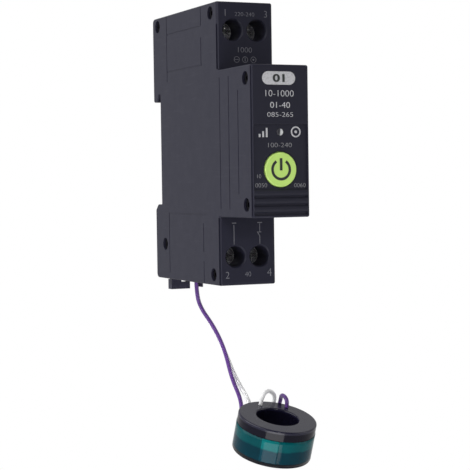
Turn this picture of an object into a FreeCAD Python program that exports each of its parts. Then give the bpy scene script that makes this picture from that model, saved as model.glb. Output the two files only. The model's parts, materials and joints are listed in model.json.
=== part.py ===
import FreeCAD, Part
import math
import os
from FreeCAD import Placement, Rotation, Vector

# A one-module smart circuit breaker for a 35 mm top-hat rail, with the measuring ring on its two leads.
# Millimetres. X is the width (the left side face is -X), +Y points into the rail, +Z is up.
# The origin is the rail seat: mid-width, on the notch floor, at half the height of the rail.

os.makedirs("parts", exist_ok=True)

# Case: overall sizes
module_width = 18.0
rail_height = 35.0
rail_thickness = 1.0
rail_play = 0.1
body_top = 42.1
body_bottom = -41.3
shoulder_depth = 46.0
nose_depth = 69.0
nose_top = 22.0
nose_bottom = -21.0
upper_back = 5.6
lower_back = 5.2
hook_slot_top = 1.1
hook_slot_mouth = 2.4
hook_length = 2.3
lower_bevel_depth = 1.9
lower_bevel_height = 1.7
seat_relief_depth = 0.3
seat_relief_gap = 0.1

# Case: walls and edges
wall = 1.5
side_wall = 1.6
cover_thickness = 1.7
divider = 0.8
rear_divider = 1.2
corner_round = 0.6
inner_corner_round = 0.3
back_corner_round = 1.4
left_edge_round = 0.45
front_bevel = 0.6
right_edge_round = 0.55
groove_width = 0.4
groove_depth = 0.1
groove_rear_y = -6.4
groove_front_y = -34.0
groove_inset = 6.1
groove_deck = 2.3
groove_gap = 0.6
groove_tail = 10.5
groove_break = 3.2
groove_nose_first = 1.3
groove_nose_pitch = 6.4
groove_nose_inset = 2.5
groove_nose_short = 4.4
seam_width = 0.4
seam_depth = 1.2
seam_lip = 0.3
seam_stop = 6.6
nose_seam_width = 0.25
nose_seam_depth = 0.4

# Rivets through both halves of the case
rivet_radius = 1.3
rivet_bore = 0.75
rivet_head_radius = 1.8
rivet_head_thickness = 0.5
rivet_recess_radius = 1.95
rivet_recess_depth = 1.2
rivet_play = 0.05
rivet_boss_radius = 2.3

# Terminals
screw_from_top = 8.3
screw_from_bottom = 8.5
screw_hole_radius = 3.1
screw_hole_bevel = 0.35
screw_sink = 7.2
screw_head_radius = 2.8
screw_head_height = 2.0
screw_radius = 2.25
screw_play = 0.08
screw_tip_gap = 0.2
screw_head_round = 0.3
cross_slot_width = 0.8
cross_slot_depth = 1.2
cross_reach = 2.0
slot_depth = 0.85
cage_side_gap = 0.35
cage_length = 7.6
cage_side = 0.8
cage_nut = 2.0
cage_floor = 1.4
cage_travel = 4.8
cage_end_gap = 0.4
cage_round = 0.5
cage_tooth = 0.6
cage_tooth_depth = 0.3
cage_tooth_pitch = 2.0
cable_gap = 5.5
bar_gap = 0.3
entry_side = 0.55
entry_round = 1.0

# Current bars
bar_side_gap = 0.25
bar_thickness = 1.5
bar_bend = 2.4
bar_end_gap = 1.2
bar_slot_play = 0.25
bar_shelf = 2.6
tab_thickness = 1.2
tab_reach = 3.4

# Latching relay
relay_side_gap = 0.5
relay_depth = 28.0
relay_height = 32.0
relay_back = 5.5
relay_centre_z = 0.5
relay_edge_round = 0.8
relay_rest_width = 1.5
relay_rest_inset = 1.5
relay_rest_edge = 0.5
relay_wall = 0.8
relay_lid_thickness = 0.9
relay_play = 0.3
relay_fit = 0.02
coil_y = -12.6
coil_side_gap = 1.2
coil_half = 9.0
former_flange = 0.9
former_wall = 0.6
former_front = 5.3
core_radius = 1.8
yoke_thickness = 1.5
yoke_half_width = 3.5
yoke_back = 2.6
yoke_leg_front = 8.9
yoke_leg_reach = 3.5
rocker_y = -24.1
rocker_half_width = 4.0
rocker_half_height = 6.5
rocker_thickness = 1.6
rocker_hub = 1.5
rocker_pin = 0.8
rocker_pin_reach = 0.5
rocker_pin_play = 0.05
rocker_lever_half = 2.0
rocker_lever_reach = 11.2
rocker_tilt = 2.75
rocker_plate = 1.3
rocker_plate_gap = 1.3
rocker_plate_half = 6.3
rocker_magnet_half = 2.2
pusher_rise = 10.0
pusher_thickness = 1.2
pusher_side_gap = 0.5
pusher_back_bar = 0.6
pusher_window_play = 0.35
pusher_blade_gap = 0.15
guide_depth = 0.9
guide_thickness = 0.8
blade_thickness = 0.3
blade_inset = 0.4
blade_foot_z = -12.5
blade_top = 11.0
tab_depth = 4.5
contact_z = 8.0
contact_radius = 1.5
contact_head = 0.6
contact_shank = 0.8
contact_gap = 1.0
fixed_strip_low = 4.5
fixed_jog_low = 12.6
fixed_jog_high = 13.8

# Front panel, button, signal lens
panel_rim = 0.6
panel_thickness = 1.2
panel_upper_step = 0.4
panel_step_round = 0.28
panel_step_z = 5.2
rib_count = 3
rib_pitch = 2.3
rib_gap = 0.4
rib_height = 0.6
rib_first_z = -14.0
button_radius = 4.9
button_gap = 0.25
button_proud = 0.55
button_z = -7.5
button_edge_round = 0.35
button_flange_radius = 5.9
button_flange_thickness = 0.9
button_flange_gap = 0.3
button_stem_radius = 1.6
button_travel = 0.6
lens_radius = 1.0
lens_play = 0.05
lens_z = 3.05
lens_proud = 0.25
lens_round = 0.22
lens_flange_radius = 1.8
lens_flange_thickness = 0.6

# Boards and what they carry
board_thickness = 1.2
board_end_gap = 0.2
front_board_side_gap = 0.8
front_board_sink = 8.8
rest_rib = 1.0
switch_size = 6.0
switch_height = 3.1
switch_leg_width = 1.0
switch_leg_thickness = 0.6
switch_leg_spread = 2.2
plunger_radius = 1.7
plunger_height = 0.7
plunger_play = 0.1
plunger_depth = 0.9
led_width = 2.0
led_height = 1.3
led_thickness = 0.8
radio_side_gap = 0.6
radio_height = 12.0
radio_base = 0.5
radio_can = 1.5
radio_bottom_gap = 2.2
radio_rim = 0.6
radio_antenna = 3.4
solder_gap = 0.1
main_board_side_gap = 1.0
main_board_front_gap = 1.6
main_board_back_gap = 2.5
capacitor_gap = 1.5
capacitor_length = 12.0
capacitor_low_z = 4.5
capacitor_edge_gap = 0.6
capacitor_groove_rise = 1.8
capacitor_groove_radius = 0.5
capacitor_groove_depth = 0.35
transformer_share = 0.49
transformer_leg_share = 0.21
transformer_pole_share = 0.125
transformer_low_z = 4.0
transformer_edge_gap = 0.8
bobbin_play = 0.05
varistor_radius = 3.5
varistor_thickness = 3.2
varistor_round = 0.8
varistor_z = -1.5
varistor_edge_gap = 2.0
chip_length = 5.0
chip_height = 1.6
chip_edge_gap = 2.0
chip_rise = 8.0
socket_height = 6.0
socket_depth = 5.0
socket_side = 0.7
socket_edge_gap = 3.0
socket_rise = 9.0

# Rail clip
clip_width = 6.4
clip_rib_width = 4.8
clip_front = 1.4
clip_thickness = 3.0
clip_base = 1.7
clip_centre_x = -2.2
clip_tooth = 1.9
clip_tooth_bevel = 1.3
clip_drop = 3.9
clip_travel = 3.2
clip_play = 0.25
clip_foot = 3.2
clip_slot_width = 2.6
clip_slot_height = 1.1
clip_slot_side = 0.4
clip_slot_drop = 0.6
clip_cheek = 1.0
stop_peg_radius = 1.1
stop_peg_z = -27.0

# Leads and their exit
lead_diameter = 1.3
lead_play = 0.02
lead_lane_x = 1.1
lead_lane_play = 0.3
lead_rise = 6.0
lead_turn_y = -14.0
lead_turn_drop = 4.0
exit_y = -6.3
exit_radius = 2.15
exit_flange = 2.9
exit_flange_thickness = 0.9
exit_guard = 2.9
exit_guard_side = 1.15
exit_play = 0.05

# Measuring ring
ring_diameter = 24.7
ring_bore = 13.4
ring_height = 12.0
ring_wall = 1.0
ring_lid = 0.9
ring_edge_round = 0.45
ring_tilt_forward = 15.7
ring_tilt_right = 4.3
ring_centre = Vector(16.15, -31.55, -83.83)
band_top = 3.2
band_height = 8.0
band_thickness = 0.25
core_gap = 0.3
winding_thickness = 0.6
winding_opening = 12.0

# Routes of the two free leads, from the bottom of the case to the lid of the ring
purple_route = [
    (-0.35, -7.10, -41.30), (-0.35, -7.10, -45.40), (0.77, -6.86, -50.50), (4.78, -9.15, -57.15),
    (7.63, -10.94, -64.55), (9.09, -12.60, -73.48), (11.32, -14.74, -80.29), (11.51, -14.61, -84.96),
    (15.66, -12.89, -88.13), (20.49, -13.53, -88.06), (23.16, -16.02, -85.12), (23.56, -18.16, -81.58),
    (22.93, -20.59, -78.47), (23.01, -24.90, -80.00), (22.83, -24.25, -82.30),
]
white_route = [
    (0.35, -5.50, -41.30), (0.35, -5.50, -45.30), (1.60, -5.05, -50.70), (5.45, -7.04, -57.36),
    (8.50, -8.72, -65.14), (11.11, -11.55, -74.06), (13.17, -17.58, -80.86), (14.13, -16.11, -85.17),
    (17.50, -15.42, -86.90), (20.68, -16.29, -84.89), (21.56, -17.98, -81.48), (20.72, -19.98, -78.43),
    (17.27, -21.91, -76.73), (14.66, -23.36, -78.60), (14.45, -22.63, -81.19),
]

# Sizes that follow from the ones above
half_width = module_width / 2
left_face = -half_width
split_x = left_face + cover_thickness
inner_right = half_width - side_wall
notch = rail_height / 2 + rail_play
hook_tip = notch - hook_length
terminal_x = (inner_right + divider / 2) / 2
cage_width = inner_right - divider / 2 - 2 * cage_side_gap
entry_width = cage_width - 2 * entry_side
bar_width = cage_width - 2 * cage_side - 2 * bar_side_gap
head_front = -shoulder_depth + screw_sink
head_back = head_front + screw_head_height
cage_closed_front = head_back + cage_end_gap
cage_open_front = cage_closed_front + cage_travel
bar_front = cage_open_front + cage_nut + bar_gap
bar_back = bar_front + bar_thickness
cage_back = bar_back + cable_gap + cage_floor
room_back = cage_back + bar_gap
front_board_front = -nose_depth + front_board_sink
panel_back = -nose_depth + panel_upper_step + panel_thickness
relay_front = -relay_back - relay_depth
relay_bottom = relay_centre_z - relay_height / 2
relay_top = relay_centre_z + relay_height / 2
switch_front = front_board_front - switch_height
plunger_front = switch_front - plunger_height
lead_radius = lead_diameter / 2
lead_level = (nose_bottom + wall + relay_bottom) / 2
relay_half = inner_right - relay_side_gap
relay_inside = relay_half - relay_wall
coil_radius = relay_inside - coil_side_gap
pusher_half_width = relay_inside - pusher_side_gap
blade_half_width = bar_width / 2 - blade_inset
rocker_z = relay_centre_z
blade_front = bar_back - blade_thickness
fixed_strip_back = blade_front - 2 * contact_head - contact_gap
fixed_strip_front = fixed_strip_back - tab_thickness
front_board_half = inner_right - front_board_side_gap
main_board_x = inner_right - main_board_side_gap - board_thickness
main_board_front = front_board_front + board_thickness + main_board_front_gap
main_board_back = relay_front - main_board_back_gap
main_board_length = main_board_back - main_board_front
transformer_size = transformer_share * main_board_length
transformer_leg = transformer_leg_share * transformer_size
transformer_pole_radius = transformer_pole_share * transformer_size
capacitor_room = main_board_length - transformer_edge_gap - transformer_size - capacitor_gap
capacitor_radius = (capacitor_room - capacitor_edge_gap) / 2
socket_y = main_board_back - socket_edge_gap
socket_low = nose_bottom + socket_rise


def save(name, shape):
    """Writes one piece, or one group of like pieces, under its name."""
    shape.exportStep("parts/" + name + ".step")
    print("%-26s %9.2f mm3, %d solid(s)" % (name, shape.Volume, len(shape.Solids)))


def box(x0, x1, y0, y1, z0, z1):
    """A block between two corners."""
    return Part.makeBox(x1 - x0, y1 - y0, z1 - z0, Vector(x0, y0, z0))


def rod_x(y, z, radius, x0, x1):
    """A round bar along X."""
    return Part.makeCylinder(radius, x1 - x0, Vector(x0, y, z), Vector(1, 0, 0))


def rod_y(x, z, radius, y0, y1):
    """A round bar along Y."""
    return Part.makeCylinder(radius, y1 - y0, Vector(x, y0, z), Vector(0, 1, 0))


def rod_z(x, y, radius, z0, z1):
    """A round bar along Z."""
    return Part.makeCylinder(radius, z1 - z0, Vector(x, y, z0), Vector(0, 0, 1))


def tube_x(y, z, outer, inner, x0, x1):
    """A round sleeve along X."""
    return rod_x(y, z, outer, x0, x1).cut(rod_x(y, z, inner, x0, x1))


def path(points, radius=None, closed=False):
    """Straight runs joined by tangent arcs, through corners given as vectors or (point, radius) pairs.

    With no radius, each arc takes 0.45 of the shorter run beside its corner.
    """
    corners = [p if isinstance(p, tuple) else (p, radius) for p in points]
    count = len(corners)
    edges = []
    first = last = None
    for i in range(0 if closed else 1, count if closed else count - 1):
        corner, size = corners[i]
        before = corner - corners[i - 1][0]
        after = corners[(i + 1) % count][0] - corner
        turn = before.getAngle(after)
        reach = 0.45 * min(before.Length, after.Length)
        if size is not None:
            reach = size * math.tan(turn / 2)
        start = corner - before.normalize() * reach
        end = corner + after.normalize() * reach
        if last is None:
            first = start
        elif (start - last).Length > 1e-6:
            edges.append(Part.makeLine(last, start))
        if reach > 1e-6:
            bend = reach / math.tan(turn / 2)
            towards = (after - before).normalize()
            middle = corner + towards * (bend / math.cos(turn / 2) - bend)
            edges.append(Part.Arc(start, middle, end).toShape())
        last = end
    if closed:
        edges.append(Part.makeLine(last, first))
        return Part.Wire(edges)
    edges.insert(0, Part.makeLine(corners[0][0], first))
    edges.append(Part.makeLine(last, corners[-1][0]))
    return Part.Wire(edges)


def side_outline():
    """The outline of the case seen from the side, as (y, z) corners with their roundings."""
    corners = [
        (upper_back, body_top, back_corner_round),
        (-shoulder_depth, body_top, corner_round),
        (-shoulder_depth, nose_top, inner_corner_round),
        (-nose_depth, nose_top, corner_round),
        (-nose_depth, nose_bottom, corner_round),
        (-shoulder_depth, nose_bottom, inner_corner_round),
        (-shoulder_depth, body_bottom, corner_round),
        (lower_back, body_bottom, back_corner_round),
        (lower_back, -notch - lower_bevel_height, corner_round),
        (lower_back - lower_bevel_depth, -notch, inner_corner_round),
        (0, -notch, 0),
        (0, notch, 0),
        (hook_slot_top, notch, 0),
        (hook_slot_mouth, hook_tip, inner_corner_round),
        (upper_back, hook_tip, corner_round),
    ]
    return path([(Vector(0, y, z), r) for y, z, r in corners], closed=True)


def slab(wire, x0, x1, inset=0.0):
    """A plate of the given outline between two X places, drawn in by an inset."""
    face = Part.Face(wire)
    if inset:
        face = face.makeOffset2D(-inset, join=2)
    face.translate(Vector(x0, 0, 0))
    return face.extrude(Vector(x1 - x0, 0, 0))


def round_rim(solid, x, radius):
    """Rounds the outline edges of a plate that lie at one X place."""
    rim = [e for e in solid.Edges if abs(e.BoundBox.XMin - x) < 1e-6 and abs(e.BoundBox.XMax - x) < 1e-6]
    return solid.makeFillet(radius, rim)


outline = side_outline()

rivet_places = [
    (upper_back - 4.3, body_top - 2.8),
    (-shoulder_depth + 4.8, body_top - 3.0),
    (-nose_depth + 3.8, nose_top - 3.7),
    (-nose_depth + 3.8, nose_bottom + 3.7),
    (-shoulder_depth + 4.7, body_bottom + 3.1),
    (lower_back - 8.0, body_bottom + 11.1),
]


class Terminal:
    """The sizes of one row of terminals: the upper row has up = 1, the lower row up = -1."""

    def __init__(self, up):
        self.up = up
        self.outer = body_top if up > 0 else body_bottom
        self.axis = self.outer - up * (screw_from_top if up > 0 else screw_from_bottom)
        self.inner = nose_top if up > 0 else nose_bottom
        self.cage_low = self.axis - cage_length / 2
        self.cage_high = self.axis + cage_length / 2

    def span(self, a, b):
        """The two heights in rising order."""
        return (a, b) if a < b else (b, a)


upper = Terminal(1)
lower = Terminal(-1)


def terminal_walls(row):
    """The block that holds the screws, the wall between the poles and the wall behind the cages."""
    room_end = row.outer - row.up * wall
    block = box(split_x, inner_right, -shoulder_depth + wall, head_back,
                *row.span(row.axis - row.up * (screw_hole_radius + wall), room_end))
    middle = box(-divider / 2, divider / 2, head_back, room_back, *row.span(row.inner, room_end))
    back = box(split_x, inner_right, room_back, room_back + rear_divider, *row.span(row.inner, room_end))
    return block.fuse([middle, back])


def terminal_holes(row):
    """Screw holes with their bevelled rims, and the cable entries."""
    holes = []
    for x in (-terminal_x, terminal_x):
        holes.append(rod_y(x, row.axis, screw_hole_radius, -shoulder_depth - 1, head_back + 1))
        rim = Part.makeCone(screw_hole_radius + screw_hole_bevel, screw_hole_radius, screw_hole_bevel,
                            Vector(x, -shoulder_depth, row.axis), Vector(0, 1, 0))
        holes.append(rim)
        entry = box(x - entry_width / 2, x + entry_width / 2, bar_back + bar_gap, cage_back - cage_floor,
                    *row.span(row.outer - row.up * 2 * wall, row.outer + row.up))
        upright = [e for e in entry.Edges if abs(e.BoundBox.ZLength - entry.BoundBox.ZLength) < 1e-6]
        holes.append(entry.makeFillet(entry_round, upright))
    return holes


def bar_route(row_a, row_b):
    """Corners of the bar that runs behind the relay from one row to the other, along its middle."""
    middle = bar_front + bar_thickness / 2
    back = -wall - bar_gap / 2 - bar_thickness / 2
    return [
        Vector(0, middle, row_a.outer - row_a.up * (wall + bar_end_gap)),
        Vector(0, middle, row_a.inner + row_a.up * bar_shelf),
        Vector(0, back, row_a.inner + row_a.up * bar_shelf),
        Vector(0, back, row_b.inner + row_b.up * bar_shelf),
        Vector(0, middle, row_b.inner + row_b.up * bar_shelf),
        Vector(0, middle, row_b.outer - row_b.up * (wall + bar_end_gap)),
    ]


def bent_bar(corners, x, width, thickness):
    """A flat bar that follows its corners in the YZ plane, with bends of one radius."""
    spine = path(corners, radius=bar_bend)
    spine.translate(Vector(x, 0, 0))
    start = corners[0] + Vector(x, 0, 0)
    across = Vector(width / 2, 0, 0)
    deep = Vector(0, thickness / 2, 0)
    ring = [start + across + deep, start - across + deep, start - across - deep, start + across - deep]
    section = Part.makePolygon(ring + ring[:1])
    return spine.makePipeShell([section], True, False)


def straight_bar(x, z0, z1):
    """A flat bar in the cages of the switched pole."""
    return box(x - bar_width / 2, x + bar_width / 2, bar_front, bar_back, z0, z1)


def cover():
    """The left half of the case: a plate with moulded lines and sunk rivet holes."""
    plate = round_rim(slab(outline, left_face, split_x), left_face, left_edge_round)
    cuts = side_grooves() + front_bevels() + front_seams()
    for y, z in rivet_places:
        cuts.append(rod_x(y, z, rivet_recess_radius, left_face - 1, left_face + rivet_recess_depth))
        cuts.append(rod_x(y, z, rivet_radius + rivet_play, left_face, split_x + 1))
    cuts.append(panel_seat())
    return plate.cut(cuts)


def side_grooves():
    """The shallow lines moulded into the side face: above the nose, below it and across it."""
    rear = groove_rear_y
    front = groove_front_y
    high = body_top - groove_inset
    deck = nose_top + groove_deck
    low_deck = nose_bottom - groove_deck
    lines = [
        (rear, nose_top - groove_gap, rear, body_top + 1),
        (rear - groove_gap, high, front, high),
        (rear - groove_gap, deck, front + groove_gap, deck),
        (front, high, front, body_top - groove_gap),
        (front, deck, front, nose_top + groove_tail),
        (rear, nose_bottom + groove_gap, rear, body_bottom + groove_deck),
        (rear, nose_bottom + groove_gap, front - groove_deck, nose_bottom + groove_gap),
        (front, low_deck, front, nose_bottom - groove_tail),
        (front, nose_bottom - groove_tail - groove_break, front, body_bottom + groove_gap),
    ]
    for i, inset in enumerate((groove_nose_inset, groove_nose_inset, groove_nose_inset + groove_nose_short)):
        y = -shoulder_depth - groove_nose_first - i * groove_nose_pitch
        lines.append((y, nose_top - inset, y, nose_bottom + inset))
    cuts = []
    half = groove_width / 2
    for y0, z0, y1, z1 in lines:
        y0, y1 = sorted((y0, y1))
        z0, z1 = sorted((z0, z1))
        cuts.append(box(left_face - 1, left_face + groove_depth, y0 - half, y1 + half, z0 - half, z1 + half))
    return cuts


def front_bevels():
    """Wedges that bevel the front left edges of both terminal blocks and of the nose."""
    wedges = []
    for y, z0, z1 in ((-shoulder_depth, nose_top + seam_lip, body_top + 1),
                      (-shoulder_depth, body_bottom - 1, nose_bottom - seam_lip),
                      (-nose_depth, nose_bottom - 1, nose_top + 1)):
        corners = [
            Vector(left_face - 1, y - 1, z0),
            Vector(left_face + front_bevel + 1, y - 1, z0),
            Vector(left_face - 1, y + front_bevel + 1, z0),
        ]
        wedges.append(Part.Face(Part.makePolygon(corners + corners[:1])).extrude(Vector(0, 0, z1 - z0)))
    return wedges


def front_seams():
    """The gaps behind the front edges: deep ones above and below the nose and a shallow one along it."""
    y = -shoulder_depth + seam_lip
    spans = [(nose_top + seam_lip, body_top - seam_stop), (body_bottom + seam_lip, nose_bottom - seam_lip)]
    gaps = [box(left_face - 1, left_face + seam_depth, y, y + seam_width, z0, z1) for z0, z1 in spans]
    y = -nose_depth + seam_lip
    gaps.append(box(left_face - 1, left_face + nose_seam_depth, y, y + nose_seam_width,
                    nose_bottom + front_bevel, nose_top - front_bevel))
    return gaps


def seat_reliefs():
    """Shallow reliefs in the notch floor beside the hook and the clip, where the edges of the rail lie."""
    top = (notch - hook_length - seat_relief_gap, notch)
    bottom = (-notch, -notch + clip_tooth + seat_relief_gap)
    return [box(split_x, half_width, -seat_relief_depth, 0, z0, z1) for z0, z1 in (top, bottom)]


def panel_seat():
    """The rebate round the nose opening that the front panel lies in."""
    return box(left_face + panel_rim, half_width - panel_rim, -nose_depth - 1, panel_back,
               nose_bottom + panel_rim, nose_top - panel_rim)


def clip_channel(play):
    """The stepped channel of the rail clip, wider at its floor than at its mouth."""
    half = clip_width / 2 + play
    neck = clip_rib_width / 2 + play
    floor = clip_front - play
    step = clip_front + clip_base + play
    low = body_bottom - 1
    high = -notch + 1
    wide = box(clip_centre_x - half, clip_centre_x + half, floor, step, low, high)
    return wide.fuse(box(clip_centre_x - neck, clip_centre_x + neck, step, lower_back + 1, low, high))


def housing():
    """The right half of the case with its inner walls, made as one moulding."""
    shell = round_rim(slab(outline, split_x, half_width), half_width, right_edge_round)
    shell = shell.cut(slab(outline, split_x - 1, inner_right, inset=wall))
    decks = [
        box(split_x, inner_right, -shoulder_depth, -wall, nose_top - wall, nose_top),
        box(split_x, inner_right, -shoulder_depth, -wall, nose_bottom, nose_bottom + wall),
    ]
    keel = box(split_x, inner_right, clip_front - clip_play - wall, clip_front - clip_play,
               body_bottom + wall, -notch - wall)
    cheek_x = clip_centre_x + clip_width / 2 + clip_play
    cheek = box(cheek_x, cheek_x + clip_cheek, clip_front - clip_play, lower_back - wall,
                body_bottom + wall, -notch - wall)
    bosses = [rod_x(y, z, rivet_boss_radius, split_x, inner_right) for y, z in rivet_places]
    case = shell.fuse(decks + [keel, cheek, terminal_walls(upper), terminal_walls(lower)] + bosses)
    case = case.fuse(relay_rests() + board_rests())
    cuts = terminal_holes(upper) + terminal_holes(lower)
    cuts += [panel_seat(), nose_window(), clip_channel(clip_play), exit_hole(), lead_slot(), lead_lane()]
    cuts += bar_slots() + seat_reliefs()
    for y, z in rivet_places:
        cuts.append(rod_x(y, z, rivet_radius + rivet_play, split_x - 1, half_width + 1))
        cuts.append(rod_x(y, z, rivet_recess_radius, half_width - rivet_recess_depth, half_width + 1))
    case = case.cut(cuts)
    peg = rod_y(clip_centre_x, stop_peg_z, stop_peg_radius, clip_front - clip_play, clip_front + clip_base)
    return case.fuse(peg).removeSplitter()


def nose_window():
    """The opening of the nose behind the front panel."""
    return box(split_x - 1, inner_right, -nose_depth, panel_back + wall, nose_bottom + wall, nose_top - wall)


def bar_slots():
    """Slots that let the bars through the inner walls."""
    half = bar_width / 2 + bar_slot_play
    across = (-terminal_x - half, -terminal_x + half)
    slots = []
    for row in (upper, lower):
        shelf = row.inner + row.up * bar_shelf
        deep = bar_thickness / 2 + bar_slot_play
        slots.append(box(*across, room_back - 1, room_back + rear_divider + 1, shelf - deep, shelf + deep))
        rise = row.span(row.inner - row.up * (wall + 1), row.inner + row.up)
        slots.append(box(*across, -wall - bar_thickness - 3 * bar_slot_play, -wall, *rise))
        slots.append(box(terminal_x - half, terminal_x + half, bar_front - bar_slot_play,
                         bar_back + tab_thickness + bar_slot_play, *rise))
    return slots


def relay_rests():
    """Ribs above and below the relay that hold it between the two decks."""
    rests = []
    x0 = split_x + relay_rest_edge
    for y in (relay_front + relay_rest_inset, -relay_back - relay_rest_inset - relay_rest_width):
        y1 = y + relay_rest_width
        rests.append(box(x0, inner_right, y, y1, relay_top + board_end_gap, nose_top - wall))
        rests.append(box(x0, inner_right, y, y1, nose_bottom + wall, relay_bottom - board_end_gap))
    return rests


def board_rests():
    """Ribs behind the front board, at its upper and lower ends."""
    y = front_board_front + board_thickness + board_end_gap
    return [box(0, inner_right, y, y + rest_rib, z, z + rest_rib)
            for z in (nose_bottom + wall, nose_top - wall - rest_rib)]


def exit_hole():
    """The round hole in the bottom wall for the lead bush."""
    return rod_z(0, exit_y, exit_radius + exit_play, body_bottom - 1, body_bottom + wall + 1)


def lead_slot():
    """The slot in the lower deck that the leads pass through inside the case."""
    half = lead_lane_x + lead_radius + lead_lane_play
    deep = lead_radius + lead_lane_play
    return box(-half, half, lead_turn_y - 2 * deep, lead_turn_y + 2 * deep,
               nose_bottom - 1, nose_bottom + wall + 1)


def lead_lane():
    """The gap in the lower relay ribs that the leads run forward through."""
    half = lead_lane_x + lead_radius + lead_lane_play
    return box(-half, half, relay_front, lead_turn_y, nose_bottom + wall, relay_bottom)


def front_panel():
    """The panel in the nose: a proud upper field, a flat middle field and grip ribs below."""
    x0 = left_face + panel_rim
    x1 = half_width - panel_rim
    z0 = nose_bottom + panel_rim
    z1 = nose_top - panel_rim
    face = -nose_depth + panel_upper_step
    plate = box(x0, x1, face, panel_back, z0, z1)
    raised = box(x0, x1, -nose_depth, face, panel_step_z, z1)
    edges = [e for e in raised.Edges if abs(e.BoundBox.YMax + nose_depth) < 1e-6 and e.BoundBox.XLength > 1]
    edges = [e for e in edges if e.BoundBox.ZMax < z1 - 1]
    raised = raised.makeFillet(panel_step_round, edges)
    ribs = [grip_rib(x0, x1, rib_first_z - i * rib_pitch, face) for i in range(rib_count)]
    panel = plate.fuse([raised] + ribs)
    button_hole = rod_y(0, button_z, button_radius + button_gap, -nose_depth - 1, panel_back + 1)
    lens_hole = rod_y(0, lens_z, lens_radius + lens_play, -nose_depth - 1, panel_back + 1)
    return panel.cut([button_hole, lens_hole]).removeSplitter()


def grip_rib(x0, x1, z, face):
    """One rounded rib across the panel, its back just inside the plate."""
    half = (rib_pitch - rib_gap) / 2
    low = Vector(x0, face, z - half)
    high = Vector(x0, face, z + half)
    crown = Vector(x0, face - rib_height, z)
    sweep = Part.Wire([Part.Arc(low, crown, high).toShape(), Part.makeLine(high, low)])
    return Part.Face(sweep).extrude(Vector(x1 - x0, 0, 0))


def button():
    """The round power button with its flange and stem."""
    face = -nose_depth + panel_upper_step - button_proud
    flange_front = panel_back + button_flange_gap
    flange_back = flange_front + button_flange_thickness
    cap = rod_y(0, button_z, button_radius, face, flange_front)
    rim = [e for e in cap.Edges if abs(e.BoundBox.YMax - face) < 1e-6]
    cap = cap.makeFillet(button_edge_round, rim)
    flange = rod_y(0, button_z, button_flange_radius, flange_front, flange_back)
    stem = rod_y(0, button_z, button_stem_radius, flange_back, plunger_front)
    return cap.fuse([flange, stem]).removeSplitter()


def switch_body():
    """The push switch under the button, open in front for its plunger."""
    half = switch_size / 2
    body = box(-half, half, switch_front, front_board_front, button_z - half, button_z + half)
    well = rod_y(0, button_z, plunger_radius + plunger_play, switch_front - 1,
                 switch_front + plunger_depth + button_travel + plunger_play)
    reach = half - switch_leg_width
    flat = switch_leg_thickness / 2
    back = front_board_front + board_thickness
    legs = [box(x, x + switch_leg_width, front_board_front, back, z - flat, z + flat)
            for x in (-half, reach) for z in (button_z - switch_leg_spread, button_z + switch_leg_spread)]
    return body.cut(well), legs


def front_board(legs):
    """The small board across the nose, with the holes of the switch legs."""
    board = box(-front_board_half, front_board_half, front_board_front, front_board_front + board_thickness,
                nose_bottom + wall + board_end_gap, nose_top - wall - board_end_gap)
    return board.cut(legs)


def signal_lens():
    """The round light pipe of the signal light, from the panel face to the lamp behind it."""
    face = -nose_depth + panel_upper_step - lens_proud
    end = front_board_front - led_thickness - bar_gap
    pipe = rod_y(0, lens_z, lens_radius, face, end)
    rim = [e for e in pipe.Edges if abs(e.BoundBox.YMax - face) < 1e-6]
    pipe = pipe.makeFillet(lens_round, rim)
    flange = rod_y(0, lens_z, lens_flange_radius, panel_back, panel_back + lens_flange_thickness)
    return pipe.fuse(flange).removeSplitter()


def status_lamp():
    """The small lamp soldered to the front board behind the light pipe."""
    return box(-led_width / 2, led_width / 2, front_board_front - led_thickness, front_board_front,
               lens_z - led_height / 2, lens_z + led_height / 2)


def radio_module():
    """The radio module on the front board: its base and the metal can on it."""
    half = front_board_half - radio_side_gap
    low = lens_z + radio_bottom_gap
    face = front_board_front - radio_base
    base = box(-half, half, face, front_board_front, low, low + radio_height)
    can = box(-half + radio_rim, half - radio_rim, face - radio_can, face,
              low + radio_rim, low + radio_height - radio_antenna)
    return base.fuse(can).removeSplitter()


def main_board():
    """The board that stands along the right wall."""
    return box(main_board_x, main_board_x + board_thickness, main_board_front, main_board_back,
               nose_bottom + wall + board_end_gap, nose_top - wall - board_end_gap)


def supply_capacitor():
    """The storage capacitor: a can with its crimp groove near one end."""
    x = main_board_x - capacitor_radius - solder_gap
    y = main_board_back - capacitor_radius - capacitor_edge_gap
    can = rod_z(x, y, capacitor_radius, capacitor_low_z, capacitor_low_z + capacitor_length)
    centre = Vector(x, y, capacitor_low_z + capacitor_groove_rise)
    reach = capacitor_radius + capacitor_groove_radius - capacitor_groove_depth
    return can.cut(Part.makeTorus(reach, capacitor_groove_radius, centre, Vector(0, 0, 1)))


def transformer():
    """The supply transformer: a ferrite frame and the wound bobbin on its middle leg."""
    x0 = main_board_x - transformer_size
    y0 = main_board_front + transformer_edge_gap
    y1 = y0 + transformer_size
    z0 = transformer_low_z
    z1 = z0 + transformer_size
    frame = box(x0, main_board_x, y0, y1, z0, z1)
    window = box(x0 - 1, main_board_x + 1, y0 + transformer_leg, y1 - transformer_leg,
                 z0 + transformer_leg, z1 - transformer_leg)
    x_mid = main_board_x - transformer_size / 2
    y_mid = (y0 + y1) / 2
    core = frame.cut(window).fuse(rod_z(x_mid, y_mid, transformer_pole_radius, z0, z1))
    wound = rod_z(x_mid, y_mid, transformer_size / 2 - transformer_leg - solder_gap,
                  z0 + transformer_leg + solder_gap, z1 - transformer_leg - solder_gap)
    wound = wound.cut(rod_z(x_mid, y_mid, transformer_pole_radius + bobbin_play, z0, z1))
    return core, wound


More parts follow.
